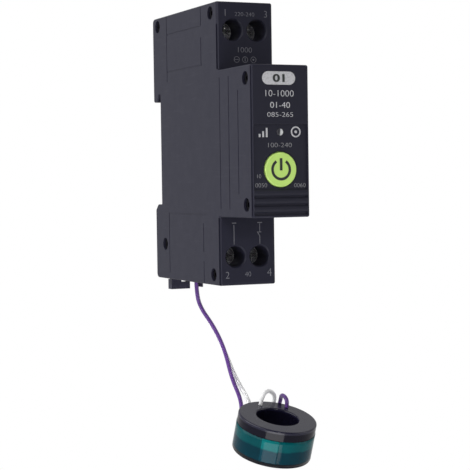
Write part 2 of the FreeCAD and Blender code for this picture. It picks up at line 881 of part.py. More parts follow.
def surge_varistor():
    """The disc varistor beside the capacitor."""
    y = main_board_back - varistor_edge_gap
    x = main_board_x - varistor_radius - solder_gap
    disc = rod_y(x, varistor_z, varistor_radius, y - varistor_thickness, y)
    faces = [e for e in disc.Edges if e.BoundBox.YLength < 1e-6]
    return disc.makeFillet(varistor_round, faces)


def metering_chip():
    """The metering chip on the main board."""
    y = main_board_front + chip_edge_gap
    z = nose_bottom + chip_rise
    return box(main_board_x - chip_height, main_board_x, y, y + chip_length, z, z + chip_length)


def lead_socket():
    """The socket on the main board that takes the two leads from below."""
    return box(-lead_lane_x - lead_radius - socket_side, main_board_x, socket_y - socket_depth / 2,
               socket_y + socket_depth / 2, socket_low, socket_low + socket_height)


def round_cord(points, label):
    """A round cord along straight runs and tangent arcs; prints its length, arcs and volume."""
    corners = [Vector(*p) for p in points]
    spine = path(corners)
    ring = Part.makeCircle(lead_radius, corners[0], corners[1] - corners[0])
    cord = spine.makePipeShell([Part.Wire(ring)], True, False)
    arcs = [e.Curve.Radius for e in spine.Edges if hasattr(e.Curve, "Radius")]
    print("%s: length %.2f, volume ratio %.4f, arc radii %s" % (
        label, spine.Length, cord.Volume / (math.pi * lead_radius ** 2 * spine.Length),
        " ".join("%.1f" % r for r in arcs)))
    return cord


def inner_lead(start, side, label):
    """The part of a lead inside the case, from the bush to the socket."""
    x, y, z = start
    lane = side * lead_lane_x
    points = [
        (x, y, z), (x, y, z + lead_rise), (lane, lead_turn_y, nose_bottom - lead_turn_drop),
        (lane, lead_turn_y, lead_level), (lane, socket_y, lead_level), (lane, socket_y, socket_low),
    ]
    return round_cord(points, label)


def lead_bush():
    """The bush in the bottom wall, with a short guard on the right-hand side of the leads."""
    inside = body_bottom + wall
    neck = rod_z(0, exit_y, exit_radius, body_bottom, inside)
    flange = rod_z(0, exit_y, exit_flange, inside, inside + exit_flange_thickness)
    guard = rod_z(0, exit_y, exit_radius, body_bottom - exit_guard, body_bottom)
    guard = guard.cut(box(-exit_flange, exit_guard_side, exit_y - exit_flange, exit_y + exit_flange,
                          body_bottom - exit_guard - 1, body_bottom))
    bush = neck.fuse([flange, guard])
    holes = [rod_z(route[0][0], route[0][1], lead_radius + lead_play, body_bottom - 2, body_bottom + 2 * wall)
             for route in (purple_route, white_route)]
    return bush.cut(holes).removeSplitter()


def relay_block(x0, x1):
    """A slice of the relay's block between two X places, with its upright edges rounded on the outer side."""
    block = box(x0, x1, relay_front, -relay_back, relay_bottom, relay_top)
    outer = x1 if x1 > 0 else x0
    upright = [e for e in block.Edges if abs(e.BoundBox.ZLength - relay_height) < 1e-6
               and abs(e.BoundBox.XMin - outer) < 1e-6]
    return block.makeFillet(relay_edge_round, upright)


def relay_case():
    """The relay's tub, open on the left: holes for its tabs and pivot, and guides for its pusher."""
    tub = relay_block(-relay_half + relay_lid_thickness, relay_half)
    tub = tub.cut(box(-relay_half, relay_inside, relay_front + relay_wall, -relay_back - relay_wall,
                      relay_bottom + relay_wall, relay_top - relay_wall))
    half = bar_width / 2 + relay_fit
    slots = []
    for z in (relay_top, relay_bottom):
        slots.append(box(terminal_x - half, terminal_x + half, bar_back - relay_fit,
                         bar_back + tab_thickness + relay_fit, z - 2 * relay_wall, z + 2 * relay_wall))
    pivot = rod_x(rocker_y, rocker_z, rocker_pin + rocker_pin_play, 0, relay_inside + rocker_pin_reach)
    return tub.fuse(pusher_guides(relay_inside - guide_depth, relay_inside)).cut(slots + [pivot])


def relay_lid():
    """The plate that closes the tub, with the other guides and the other pivot hole."""
    inner = -relay_half + relay_lid_thickness
    pivot = rod_x(rocker_y, rocker_z, rocker_pin + rocker_pin_play, inner - rocker_pin_reach, 0)
    return relay_block(-relay_half, inner).fuse(pusher_guides(inner, inner + guide_depth)).cut(pivot)


def pusher_guides(x0, x1):
    """A rib below and one above the pusher, between two X places."""
    low = rocker_z + pusher_rise - pusher_thickness / 2 - relay_play
    high = rocker_z + pusher_rise + pusher_thickness / 2 + relay_play
    front = bar_back + tab_thickness
    back = rocker_y + rocker_thickness
    return [box(x0, x1, front, back, low - guide_thickness, low),
            box(x0, x1, front, back, high, high + guide_thickness)]


def relay_coil():
    """The coil former, the winding on it and the core through it."""
    middle = relay_centre_z
    inner = core_radius + relay_fit + former_wall
    former = rod_z(0, coil_y, inner, middle - coil_half, middle + coil_half)
    side = relay_inside - relay_play
    front = coil_y - former_front
    for z in (middle - coil_half - former_flange, middle + coil_half):
        former = former.fuse(box(-side, side, front, coil_y + former_front, z, z + former_flange))
    bore = rod_z(0, coil_y, core_radius + relay_fit, middle - 2 * coil_half, middle + 2 * coil_half)
    former = former.cut(bore).removeSplitter()
    coil = rod_z(0, coil_y, coil_radius, middle - coil_half, middle + coil_half)
    coil = coil.cut(rod_z(0, coil_y, inner, middle - coil_half, middle + coil_half))
    end = coil_half + former_flange + relay_fit + yoke_thickness
    core = rod_z(0, coil_y, core_radius, middle - end, middle + end)
    return former, coil, core


def relay_yokes():
    """The two angled pole pieces: each lies on an end of the former and turns in towards the rocker."""
    pieces = []
    for side in (-1, 1):
        inner = relay_centre_z + side * (coil_half + former_flange + relay_fit)
        outer = inner + side * yoke_thickness
        front = coil_y - yoke_leg_front
        z0, z1 = sorted((inner, outer))
        plate = box(-yoke_half_width, yoke_half_width, front, coil_y + yoke_back, z0, z1)
        plate = plate.cut(rod_z(0, coil_y, core_radius + relay_fit, z0 - 1, z1 + 1))
        z0, z1 = sorted((relay_centre_z + side * yoke_leg_reach, outer))
        leg = box(-yoke_half_width, yoke_half_width, front, front + yoke_thickness, z0, z1)
        pieces.append(plate.fuse(leg).removeSplitter())
    return Part.makeCompound(pieces)


def relay_rocker():
    """The rocker with its lever and pins, its iron plate and its magnet, tilted to the open side."""
    half = rocker_thickness / 2
    body = box(-rocker_half_width, rocker_half_width, rocker_y - half, rocker_y + half,
               rocker_z - rocker_half_height, rocker_z + rocker_half_height)
    lever = box(-rocker_lever_half, rocker_lever_half, rocker_y - half, rocker_y + half,
                rocker_z, rocker_z + rocker_lever_reach)
    hub_reach = rocker_half_width + rocker_hub
    hub = rod_x(rocker_y, rocker_z, rocker_hub, -hub_reach, hub_reach)
    pin_left = -relay_half + relay_lid_thickness - rocker_pin_reach + relay_fit
    pin_right = relay_inside + rocker_pin_reach - relay_fit
    pin = rod_x(rocker_y, rocker_z, rocker_pin, pin_left, pin_right)
    iron_back = rocker_y + half + rocker_plate_gap
    iron_front = iron_back - rocker_plate
    plate = box(-yoke_half_width, yoke_half_width, iron_front, iron_back,
                rocker_z - rocker_plate_half, rocker_z + rocker_plate_half)
    magnet = box(-rocker_magnet_half, rocker_magnet_half, rocker_y - rocker_plate / 2, iron_front,
                 rocker_z - rocker_magnet_half, rocker_z + rocker_magnet_half)
    body = body.fuse([lever, hub, pin]).cut([plate, magnet]).removeSplitter()
    pieces = [body, plate, magnet]
    for piece in pieces:
        piece.rotate(Vector(0, rocker_y, rocker_z), Vector(1, 0, 0), -rocker_tilt)
    return pieces


def relay_pusher():
    """The pusher: a flat frame whose window holds the lever and whose front end meets the contact blade."""
    low = rocker_z + pusher_rise - pusher_thickness / 2
    high = low + pusher_thickness
    lever_y = rocker_y + pusher_rise * math.sin(math.radians(rocker_tilt))
    reach = rocker_thickness / 2 + pusher_window_play
    back = lever_y + reach + pusher_back_bar
    plate = box(-pusher_half_width, pusher_half_width, bar_back + pusher_blade_gap, back, low, high)
    side = rocker_lever_half + pusher_window_play
    return plate.cut(box(-side, side, lever_y - reach, lever_y + reach, low - 1, high + 1))


def contact_rivet(head_front, head_back, shank_end):
    """A contact rivet: its head between two Y places and its shank on to a third."""
    head = rod_y(terminal_x, contact_z, contact_radius, head_front, head_back)
    shank = rod_y(terminal_x, contact_z, contact_shank, min(head_front, shank_end), max(head_back, shank_end))
    return head.fuse(shank).removeSplitter()


def relay_contacts():
    """The moving blade, its rivet and the fixed rivet."""
    blade = box(terminal_x - blade_half_width, terminal_x + blade_half_width, blade_front, bar_back,
                blade_foot_z, blade_top)
    blade = blade.cut(rod_y(terminal_x, contact_z, contact_shank + relay_fit, blade_front - 1, bar_back + 1))
    moving = contact_rivet(blade_front - contact_head, blade_front, bar_back)
    fixed = contact_rivet(fixed_strip_back, fixed_strip_back + contact_head, fixed_strip_front)
    return blade, moving, fixed


def relay_line_tab():
    """The carrier of the fixed contact: the upper tab, a step forward and the strip that holds the rivet."""
    x0 = terminal_x - blade_half_width
    x1 = terminal_x + blade_half_width
    tab = box(terminal_x - bar_width / 2, terminal_x + bar_width / 2, bar_back, bar_back + tab_thickness,
              relay_top - relay_wall, relay_top + tab_reach)
    neck = box(x0, x1, bar_back, bar_back + tab_thickness, fixed_jog_low, relay_top - relay_wall)
    jog = box(x0, x1, fixed_strip_front, bar_back + tab_thickness, fixed_jog_low, fixed_jog_high)
    strip = box(x0, x1, fixed_strip_front, fixed_strip_back, fixed_strip_low, fixed_jog_high)
    hole = rod_y(terminal_x, contact_z, contact_shank + relay_fit, fixed_strip_front - 1, fixed_strip_back + 1)
    return tab.fuse([neck, jog, strip]).cut(hole).removeSplitter()


def relay_load_tab():
    """The tab at the bottom, which carries the foot of the blade."""
    return box(terminal_x - bar_width / 2, terminal_x + bar_width / 2, bar_back, bar_back + tab_thickness,
               relay_bottom - tab_reach, relay_bottom + tab_depth)


def terminal_screw(x, z):
    """A terminal screw: head with a combined slot and cross, and a plain shank for the thread."""
    head = rod_y(x, z, screw_head_radius, head_front, head_back)
    rim = [e for e in head.Edges if abs(e.BoundBox.YMax - head_front) < 1e-6]
    head = head.makeFillet(screw_head_round, rim)
    shank = rod_y(x, z, screw_radius, head_back, bar_front - screw_tip_gap)
    half = cross_slot_width / 2
    front = head_front - 1
    slot = box(x - screw_head_radius, x + screw_head_radius, front, head_front + slot_depth, z - half, z + half)
    cross = box(x - half, x + half, front, head_front + cross_slot_depth, z - cross_reach, z + cross_reach)
    return head.fuse(shank).cut([slot, cross]).removeSplitter()


def terminal_cage(x, z):
    """The lifting cage of a terminal: a steel loop with a threaded wall in front and teeth at its floor."""
    half = cage_width / 2
    inside = half - cage_side
    floor = cage_back - cage_floor
    loop = box(x - half, x + half, cage_open_front, cage_back, z - cage_length / 2, z + cage_length / 2)
    edges = [e for e in loop.Edges if abs(e.BoundBox.ZLength - cage_length) < 1e-6]
    loop = loop.makeFillet(cage_round, edges)
    window = box(x - inside, x + inside, cage_open_front + cage_nut, floor, z - cage_length, z + cage_length)
    thread = rod_y(x, z, screw_radius + screw_play, cage_open_front - 1, cage_open_front + cage_nut + 1)
    grooves = []
    for step in (-1, 0, 1):
        middle = z + step * cage_tooth_pitch
        grooves.append(box(x - inside, x + inside, floor - 1, floor + cage_tooth_depth,
                           middle - cage_tooth / 2, middle + cage_tooth / 2))
    return loop.cut([window, thread] + grooves)


def rivets():
    """Six tubular rivets through both halves of the case."""
    group = []
    for y, z in rivet_places:
        left = left_face + rivet_recess_depth
        right = half_width - rivet_recess_depth
        shank = rod_x(y, z, rivet_radius, left, right)
        heads = [rod_x(y, z, rivet_head_radius, left - rivet_head_thickness, left),
                 rod_x(y, z, rivet_head_radius, right, right + rivet_head_thickness)]
        bore = rod_x(y, z, rivet_bore, left - 1, right + 1)
        group.append(shank.fuse(heads).cut(bore).removeSplitter())
    return Part.makeCompound(group)


def rail_clip():
    """The sliding clip that locks the lower edge of the rail: plate, rib, tooth and pull foot."""
    half = clip_width / 2
    neck = clip_rib_width / 2
    back = clip_front + clip_thickness
    low = body_bottom - clip_drop
    high = -notch + clip_tooth
    plate = box(clip_centre_x - half, clip_centre_x + half, clip_front, clip_front + clip_base, low, high)
    rib = box(clip_centre_x - neck, clip_centre_x + neck, clip_front + clip_base, back, low, high)
    foot = box(clip_centre_x - half, clip_centre_x + half, clip_front, back, low, low + clip_foot)
    clip = plate.fuse([rib, foot])
    side = clip_centre_x - half - 1
    bevel = [
        Vector(side, back, high - clip_tooth_bevel * 2),
        Vector(side, back, high),
        Vector(side, back - clip_tooth_bevel, high),
    ]
    wedge = Part.Face(Part.makePolygon(bevel + bevel[:1])).extrude(Vector(clip_width + 2, 0, 0))
    stop_slot_low = stop_peg_z - stop_peg_radius - clip_play
    stop_slot_high = stop_peg_z + stop_peg_radius + clip_play + clip_travel
    stop_half = stop_peg_radius + clip_play
    stop_slot = box(clip_centre_x - stop_half, clip_centre_x + stop_half, clip_front - 1,
                    clip_front + clip_base + clip_play, stop_slot_low, stop_slot_high)
    pull_x = clip_centre_x + half - clip_slot_side
    pull_z = body_bottom - clip_slot_drop
    pull = box(pull_x - clip_slot_width, pull_x, clip_front - 1, back + 1, pull_z - clip_slot_height, pull_z)
    return clip.cut([wedge, stop_slot, pull]).removeSplitter()


ring_placement = Placement(ring_centre, Rotation(Vector(1, 0, 0), ring_tilt_forward)
                           * Rotation(Vector(0, 1, 0), ring_tilt_right))


def ring_sleeve(inner, outer, z0, z1):
    """A ring about the local Z axis, in the measuring ring's own frame with its lid at z = 0."""
    return rod_z(0, 0, outer, z0, z1).cut(rod_z(0, 0, inner, z0 - 1, z1 + 1))


def measuring_ring():
    """The ring's pieces in its own frame: case, lid, band, core and winding."""
    outer = ring_diameter / 2
    bore = ring_bore / 2
    case = ring_sleeve(bore, outer, -ring_height, -ring_lid)
    case = case.cut(ring_sleeve(bore + ring_wall, outer - ring_wall, -ring_height + ring_wall, 0))
    case = case.cut(ring_sleeve(outer - band_thickness, outer + 1, -band_top - band_height, -band_top))
    low_edges = [e for e in case.Edges if abs(e.BoundBox.ZMax + ring_height) < 1e-6]
    case = case.makeFillet(ring_edge_round, [e for e in low_edges if e.BoundBox.XLength > 2 * bore + 1])
    lid = ring_sleeve(bore, outer, -ring_lid, 0)
    top_edges = [e for e in lid.Edges if abs(e.BoundBox.ZMin) < 1e-6]
    lid = lid.makeFillet(ring_edge_round, top_edges)
    band = ring_sleeve(outer - band_thickness, outer, -band_top - band_height, -band_top)
    hollow_in = bore + ring_wall + core_gap
    hollow_out = outer - ring_wall - core_gap
    wound_low = -ring_height + ring_wall + core_gap
    wound_high = -ring_lid - core_gap
    wound = ring_sleeve(hollow_in, hollow_out, wound_low, wound_high)
    core_in = hollow_in + winding_thickness
    core_out = hollow_out - winding_thickness
    core = ring_sleeve(core_in, core_out, wound_low + winding_thickness, wound_high - winding_thickness)
    wedge = Part.makeCylinder(outer, ring_height, Vector(0, 0, -ring_height), Vector(0, 0, 1), winding_opening)
    wound = wound.cut([core, wedge])
    pieces = {"ring_case": case, "ring_lid": lid, "ring_band": band, "ring_core": core, "ring_winding": wound}
    for shape in pieces.values():
        shape.Placement = ring_placement
    return pieces


save("left_cover", cover())
save("main_housing", housing())
save("front_panel", front_panel())
save("rivets", rivets())
save("rail_clip", rail_clip())
save("power_button", button())
plunger = rod_y(0, button_z, plunger_radius, plunger_front, switch_front + plunger_depth)
save("switch_plunger", plunger)
switch_shell, switch_legs = switch_body()
save("push_switch", switch_shell.fuse(switch_legs).removeSplitter())
save("front_board", front_board(switch_legs))
save("signal_lens", signal_lens())
save("status_lamp", status_lamp())
save("radio_module", radio_module())
save("main_board", main_board())
save("supply_capacitor", supply_capacitor())
transformer_core, transformer_winding = transformer()
save("transformer_core", transformer_core)
save("transformer_winding", transformer_winding)
save("surge_varistor", surge_varistor())
save("metering_chip", metering_chip())
save("lead_socket", lead_socket())
save("lead_bush", lead_bush())
save("purple_inner_lead", inner_lead(purple_route[0], -1, "purple inner lead"))
save("white_inner_lead", inner_lead(white_route[0], 1, "white inner lead"))
save("relay_case", relay_case())
save("relay_lid", relay_lid())
relay_former, relay_winding, relay_core = relay_coil()
save("relay_former", relay_former)
save("relay_winding", relay_winding)
save("relay_core", relay_core)
save("relay_yokes", relay_yokes())
rocker, rocker_iron, rocker_magnet = relay_rocker()
save("relay_rocker", rocker)
save("rocker_plate", rocker_iron)
save("rocker_magnet", rocker_magnet)
save("relay_pusher", relay_pusher())
contact_blade, moving_contact, fixed_contact = relay_contacts()
save("contact_blade", contact_blade)
save("moving_contact", moving_contact)
save("fixed_contact", fixed_contact)
save("relay_line_tab", relay_line_tab())
save("relay_load_tab", relay_load_tab())
save("neutral_bar", bent_bar(bar_route(upper, lower), -terminal_x, bar_width, bar_thickness))
save("line_bar", straight_bar(terminal_x, relay_top + board_end_gap, body_top - wall - bar_end_gap))
save("load_bar", straight_bar(terminal_x, body_bottom + wall + bar_end_gap, relay_bottom - board_end_gap))
for row, row_name in ((upper, "top"), (lower, "bottom")):
    for x, side_name in ((-terminal_x, "left"), (terminal_x, "right")):
        save("terminal_screw_%s_%s" % (row_name, side_name), terminal_screw(x, row.axis))
        save("terminal_cage_%s_%s" % (row_name, side_name), terminal_cage(x, row.axis))
for piece_name, piece in measuring_ring().items():
    save(piece_name, piece)
save("purple_lead", round_cord(purple_route, "purple lead"))
save("white_lead", round_cord(white_route, "white lead"))
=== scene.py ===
# %% [markdown]
# # A rail-mounted smart breaker and its measuring ring
#
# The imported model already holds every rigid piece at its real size. This lesson dresses it: the finish of
# each moulding and metal part, the wound tape on the ring, the two flexible leads, the threaded screws and
# the printed marks. Everything is in metres, with the rail seat at the origin and +Z up. The frame is
# loaded first, because every later piece takes its place from it.

# %% Load the frame
import json
import math

import bpy
import numpy as np
from mathutils import Matrix, Vector


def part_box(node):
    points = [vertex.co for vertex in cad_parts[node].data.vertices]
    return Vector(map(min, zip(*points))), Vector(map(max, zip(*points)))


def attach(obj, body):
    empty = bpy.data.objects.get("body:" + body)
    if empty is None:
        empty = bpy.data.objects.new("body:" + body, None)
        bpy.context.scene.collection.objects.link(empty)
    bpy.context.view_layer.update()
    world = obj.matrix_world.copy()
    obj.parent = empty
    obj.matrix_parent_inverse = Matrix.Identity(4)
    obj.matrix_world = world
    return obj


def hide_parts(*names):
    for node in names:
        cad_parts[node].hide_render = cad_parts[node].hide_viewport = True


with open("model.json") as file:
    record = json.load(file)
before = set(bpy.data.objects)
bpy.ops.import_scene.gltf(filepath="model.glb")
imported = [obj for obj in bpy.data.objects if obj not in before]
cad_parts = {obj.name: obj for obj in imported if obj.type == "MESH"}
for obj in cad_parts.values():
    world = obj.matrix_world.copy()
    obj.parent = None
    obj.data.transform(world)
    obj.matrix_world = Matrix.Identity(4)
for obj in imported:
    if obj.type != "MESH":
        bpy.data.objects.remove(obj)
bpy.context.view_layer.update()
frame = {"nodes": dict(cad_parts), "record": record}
nodes = frame["nodes"]

# %% [markdown]
# ## The view
#
# A camera can be written as a place, a direction and an up vector. Here these three come from the corners
# of the case, whose real sizes are known, so lens and distance follow the picture exactly. A long lens
# from about half a metre keeps the module's upright edges nearly parallel.

# %% Camera
MM = 0.001
camera_place = Vector((-0.18154, -0.43905, -0.01134))
camera_forward = Vector((0.41126, 0.91085, -0.03491)).normalized()
camera_up = Vector((0.02741, 0.02592, 0.99929))
camera_lens = 112.13

camera_data = bpy.data.cameras.new("camera")
camera_data.lens = camera_lens
camera_data.sensor_width = 36.0
camera_data.clip_start = 0.02
camera_data.clip_end = 20.0
camera = bpy.data.objects.new("camera", camera_data)
bpy.context.scene.collection.objects.link(camera)
camera_right = camera_forward.cross(camera_up).normalized()
camera_top = camera_right.cross(camera_forward)
axes = Matrix((camera_right, camera_top, -camera_forward)).transposed()
camera.matrix_world = Matrix.Translation(camera_place) @ axes.to_4x4()
bpy.context.scene.camera = camera
bpy.context.scene.view_settings.view_transform = "Standard"
print("camera:", camera_lens, "mm lens,", round(camera_place.length, 3), "m from the rail seat")

# %% [markdown]
# ## A small language for finishes
#
# Node trees are easier to read as formulas. One class wraps an output socket and adds a Math node whenever
# it is added, subtracted, multiplied or compared. The reflected forms are there too, so that 1 - mask
# works as well as mask - 1.

# %% Sockets as numbers
class Field:
    """An output socket that can be used in arithmetic."""

    def __init__(self, owner, socket):
        self.owner = owner
        self.socket = socket

    def math(self, operation, first, second):
        return self.owner.node("ShaderNodeMath", {"operation": operation}, {0: first, 1: second})

    def __add__(self, other):
        return self.math("ADD", self, other)

    def __sub__(self, other):
        return self.math("SUBTRACT", self, other)

    def __rsub__(self, other):
        return self.math("SUBTRACT", other, self)

    def __mul__(self, other):
        return self.math("MULTIPLY", self, other)

    def __gt__(self, other):
        return self.math("GREATER_THAN", self, other)

    def __lt__(self, other):
        return self.math("LESS_THAN", self, other)

    __radd__ = __add__
    __rmul__ = __mul__


# %% [markdown]
# Every other node comes from one method, for materials and for the world alike. It takes the node's type,
# its settings and the values or links of its sockets. Settings come first, because some of them, such as
# the data type of a Mix node, decide which sockets are in use.

# %% Nodes from one method
class Nodes:
    """A node tree that is built node by node."""

    def __init__(self, tree):
        self.tree = tree

    def node(self, kind, settings, inputs, output=0):
        """Adds a node: its settings first, then the values or links of its sockets."""
        made = self.tree.nodes.new(kind)
        for key, value in settings.items():
            if key == "stops":
                ramp = made.color_ramp
                while len(ramp.elements) < len(value):
                    ramp.elements.new(0.5)
                for element, (at, colour) in zip(ramp.elements, value):
                    element.position = at
                    element.color = colour
            else:
                setattr(made, key, value)
        for key, value in inputs.items():
            self.feed(made.inputs[key], value)
        return Field(self, made.outputs[output])

    def feed(self, socket, value):
        """Links a field to a socket, or sets a plain value on it."""
        if isinstance(value, Field):
            self.tree.links.new(value.socket, socket)
        else:
            socket.default_value = value


# %% [markdown]
# Colours are picked as a screen shows them, while light adds up in linear values, so one function turns
# the first into the second. Another makes a colour darker or paler.

# %% Colours
def rgb(red, green, blue):
    """A screen colour, 0 to 255, in linear values: a short straight foot, then a power of 2.4."""
    shares = np.array([red, green, blue]) / 255.0
    linear = np.where(shares <= 0.04045, shares / 12.92, ((shares + 0.055) / 1.055) ** 2.4)
    return (*linear.tolist(), 1.0)


def shaded(colour, share):
    """A colour times a factor, and never brighter than white."""
    return (*(min(1.0, part * share) for part in colour[:3]), 1.0)


print("middle grey as light:", round(rgb(128, 128, 128)[0], 3))

# %% [markdown]
# A finish is a material whose one Principled shader is fed by patterns. The patterns are read in Object
# coordinates, so they stay on a piece when it moves, and a scale counts features per metre. Short
# methods give clouds, a blend of two colours, a grey ramp, a value carried by the mesh, and a bump.

# %% Finishes
class Finish(Nodes):
    """A material with one Principled shader, fed by patterns in Object coordinates."""

    def __init__(self, name):
        self.material = bpy.data.materials.new(name)
        self.material.use_nodes = True
        super().__init__(self.material.node_tree)
        self.shader = self.tree.nodes["Principled BSDF"]
        self.place = self.node("ShaderNodeTexCoord", {}, {}, "Object")

    def set(self, **inputs):
        """Feeds the shader's sockets, named with underscores for spaces."""
        for key, value in inputs.items():
            self.feed(self.shader.inputs[key.replace("_", " ")], value)

    def noise(self, scale, detail=2.0, roughness=0.5, stretch=(1.0, 1.0, 1.0)):
        """Cloudy values from 0 to 1; scale is in features per metre."""
        place = self.place
        if stretch != (1.0, 1.0, 1.0):
            place = self.node("ShaderNodeMapping", {}, {"Vector": place, "Scale": stretch})
        sockets = {"Vector": place, "Scale": scale, "Detail": detail, "Roughness": roughness}
        return self.node("ShaderNodeTexNoise", {}, sockets)

    def blend(self, factor, first, second):
        """Goes from the first colour to the second as the factor rises."""
        sockets = {0: factor, 6: first, 7: second}
        return self.node("ShaderNodeMix", {"data_type": "RGBA"}, sockets, 2)

    def steps(self, value, *stops):
        """Reads a value through a grey ramp given as (place, grey) pairs."""
        ramp = [(at, (grey, grey, grey, 1.0)) for at, grey in stops]
        return self.node("ShaderNodeValToRGB", {"stops": ramp}, {"Fac": value})

    def attribute(self, name):
        """A value that the mesh carries at its points."""
        return self.node("ShaderNodeAttribute", {"attribute_name": name}, {}, "Fac")

    def bump(self, height, distance):
        """A normal that follows a height pattern; distance is its depth in metres."""
        return self.node("ShaderNodeBump", {}, {"Height": height, "Distance": distance})


# %% [markdown]
# ## Moulded plastic
#
# The case is injection moulded in a tool with a spark-eroded face, so it has a fine grain, a sheen that
# varies a little, and faint rub marks from handling. Three noises do this: a wide one for tone, a fine one
# for the grain as bump, and a stretched one that lowers the roughness where something has rubbed. The same
# recipe, with its own colour, grain and sheen, serves every moulding, and each gets its own call.

# %% Plastics
def moulded(name, colour, roughness, grain=2600.0, depth=0.012, tone=0.10, rub=0.10, shine=0.5):
    """A moulding: colour drifts by the tone, the grain is that deep in millimetres, rubs are smoother."""
    finish = Finish(name)
    drift = finish.noise(55.0, 3.0)
    rubs = finish.noise(90.0, 4.0, 0.6, (1.0, 1.0, 9.0))
    worn = finish.steps(rubs, (0.56, 0.0), (0.70, 1.0))
    sheen = finish.noise(260.0, 2.0)
    height = finish.noise(grain, 3.0, 0.6)
    finish.set(Base_Color=finish.blend(drift, shaded(colour, 1.0 - tone), shaded(colour, 1.0 + tone)),
               Roughness=(sheen - 0.5) * 0.10 + roughness - worn * rub,
               Specular_IOR_Level=shine, Normal=finish.bump(height, depth * MM))
    return finish.material


case_finish = moulded("case_plastic", rgb(32, 32, 47), 0.50, depth=0.016, tone=0.05, rub=0.04, shine=0.25)
panel_finish = moulded("panel_plastic", rgb(36, 36, 48), 0.44, grain=5200.0, depth=0.005, tone=0.04,
                       rub=0.03, shine=0.25)
clip_finish = moulded("clip_plastic", rgb(37, 36, 57), 0.50)
bush_finish = moulded("bush_plastic", rgb(38, 32, 58), 0.45)
button_finish = moulded("button_plastic", rgb(195, 231, 122), 0.38, grain=6000.0, depth=0.004, tone=0.03,
                        rub=0.06)
ring_finish = moulded("ring_plastic", rgb(22, 21, 42), 0.26, grain=3000.0, depth=0.004, tone=0.08,
                      shine=0.4)
ring_side_finish = moulded("ring_side_plastic", rgb(14, 13, 26), 0.10, grain=3000.0, depth=0.003, tone=0.08,
                           rub=0.04, shine=0.16)
switch_finish = moulded("switch_plastic", rgb(34, 34, 36), 0.40)
relay_finish = moulded("relay_plastic", rgb(33, 33, 38), 0.36, tone=0.06)
part_finish = moulded("part_plastic", rgb(26, 26, 28), 0.33, grain=7000.0, depth=0.004)
print("finishes so far:", len(bpy.data.materials))

# %% [markdown]
# ## Metals
#
# The cages are zinc plated, so they are bright with a slightly yellow, cloudy tone and fine rolled lines.
# The bars are plain copper with darker oxide patches, and the relay adds soft iron, spring bronze and
# silver. Metals take nearly all their look from what they reflect, so colour variation stays small and the
# lines go into the bump and the roughness.

# %% Metals
def plated(name, colour, tarnish, roughness, lines=(1.0, 30.0, 1.0)):
    """A rolled or turned metal: clouds of tarnish over the plating, with fine lines along one axis."""
    finish = Finish(name)
    clouds = finish.steps(finish.noise(420.0, 4.0, 0.6), (0.42, 0.0), (0.72, 1.0))
    streaks = finish.noise(900.0, 2.0, 0.5, lines)
    finish.set(Base_Color=finish.blend(clouds * 0.8, colour, tarnish), Metallic=1.0,
               Roughness=streaks * 0.16 + clouds * 0.14 + roughness,
               Normal=finish.bump(streaks, 0.003 * MM))
    return finish.material


cage_finish = plated("cage_steel", rgb(196, 190, 174), rgb(148, 136, 110), 0.30, (1.0, 1.0, 22.0))
bar_finish = plated("bar_copper", rgb(206, 134, 92), rgb(120, 66, 42), 0.30, (1.0, 1.0, 30.0))
can_finish = plated("can_metal", rgb(200, 202, 205), rgb(168, 170, 174), 0.28, (1.0, 1.0, 14.0))
rivet_finish = plated("rivet_steel", rgb(36, 36, 40), rgb(18, 17, 20), 0.46)
iron_finish = plated("soft_iron", rgb(132, 131, 130), rgb(92, 88, 84), 0.34, (20.0, 1.0, 1.0))
bronze_finish = plated("spring_bronze", rgb(198, 154, 104), rgb(150, 104, 64), 0.26, (1.0, 1.0, 26.0))
silver_finish = plated("contact_silver", rgb(214, 213, 208), rgb(150, 146, 138), 0.24, (6.0, 6.0, 6.0))
print("finishes so far:", len(bpy.data.materials))

# %% [markdown]
# The screws are zinc plated too. Deep in their holes only a few crystals catch the light, so the colour is
# painted in dull patches and bright ones, which are painted glints. The screw's mesh carries a recess
# value, made further down, which paints shade into the slot and the cross.

# %% Screw plating
def screw_plating():
    """Zinc in dull patches and painted glints, with painted shade in the slot and the cross."""
    finish = Finish("screw_steel")
    recess = finish.attribute("recess")
    crystals = finish.noise(2600.0, 3.0, 0.7)
    glint_patches = finish.steps(crystals, (0.46, 0.0), (0.56, 1.0))
    # Painted glints: the bright patches of the base colour.
    bright = finish.blend(glint_patches, rgb(120, 120, 126), rgb(250, 250, 252))
    # Painted shade: the recess value darkens the slot and the cross.
    finish.set(Base_Color=finish.blend(recess * 0.85, bright, rgb(40, 38, 38)), Metallic=1.0,
               Roughness=recess * 0.25 - glint_patches * 0.14 + 0.38,
               Normal=finish.bump(crystals, 0.10 * MM))
    return finish.material


screw_finish = screw_plating()
print("finishes so far:", len(bpy.data.materials))

# %% [markdown]
# ## Wound, fired and laminated parts
#
# Coils, cores and boards sit inside the case and show when it is taken apart. A coil could be modelled
# turn by turn, but a wave pattern as bump gives the same look at no cost. Ferrite and dipped coats are
# matte with small pits. A board is green resist over a weave, with tracks along the edges of cells.

# %% Coils, cores and boards
def wound(name, colour, shade, pitch):
    """Enamelled wire, wound tight: round ridges at the pitch, in millimetres, with painted shade in the
    gaps.
    """
    finish = Finish(name)
    wave = finish.node("ShaderNodeTexWave", {"bands_direction": "DIAGONAL"},
                       {"Vector": finish.place, "Scale": 1.0 / (pitch * MM * 20.0), "Distortion": 0.6})
    # Painted shade: the wave darkens the copper in the gaps between the turns.
    finish.set(Base_Color=finish.blend(wave, shade, colour), Metallic=0.6, Roughness=0.30,
               Coat_Weight=0.4, Normal=finish.bump(wave, 0.06 * MM))
    return finish.material


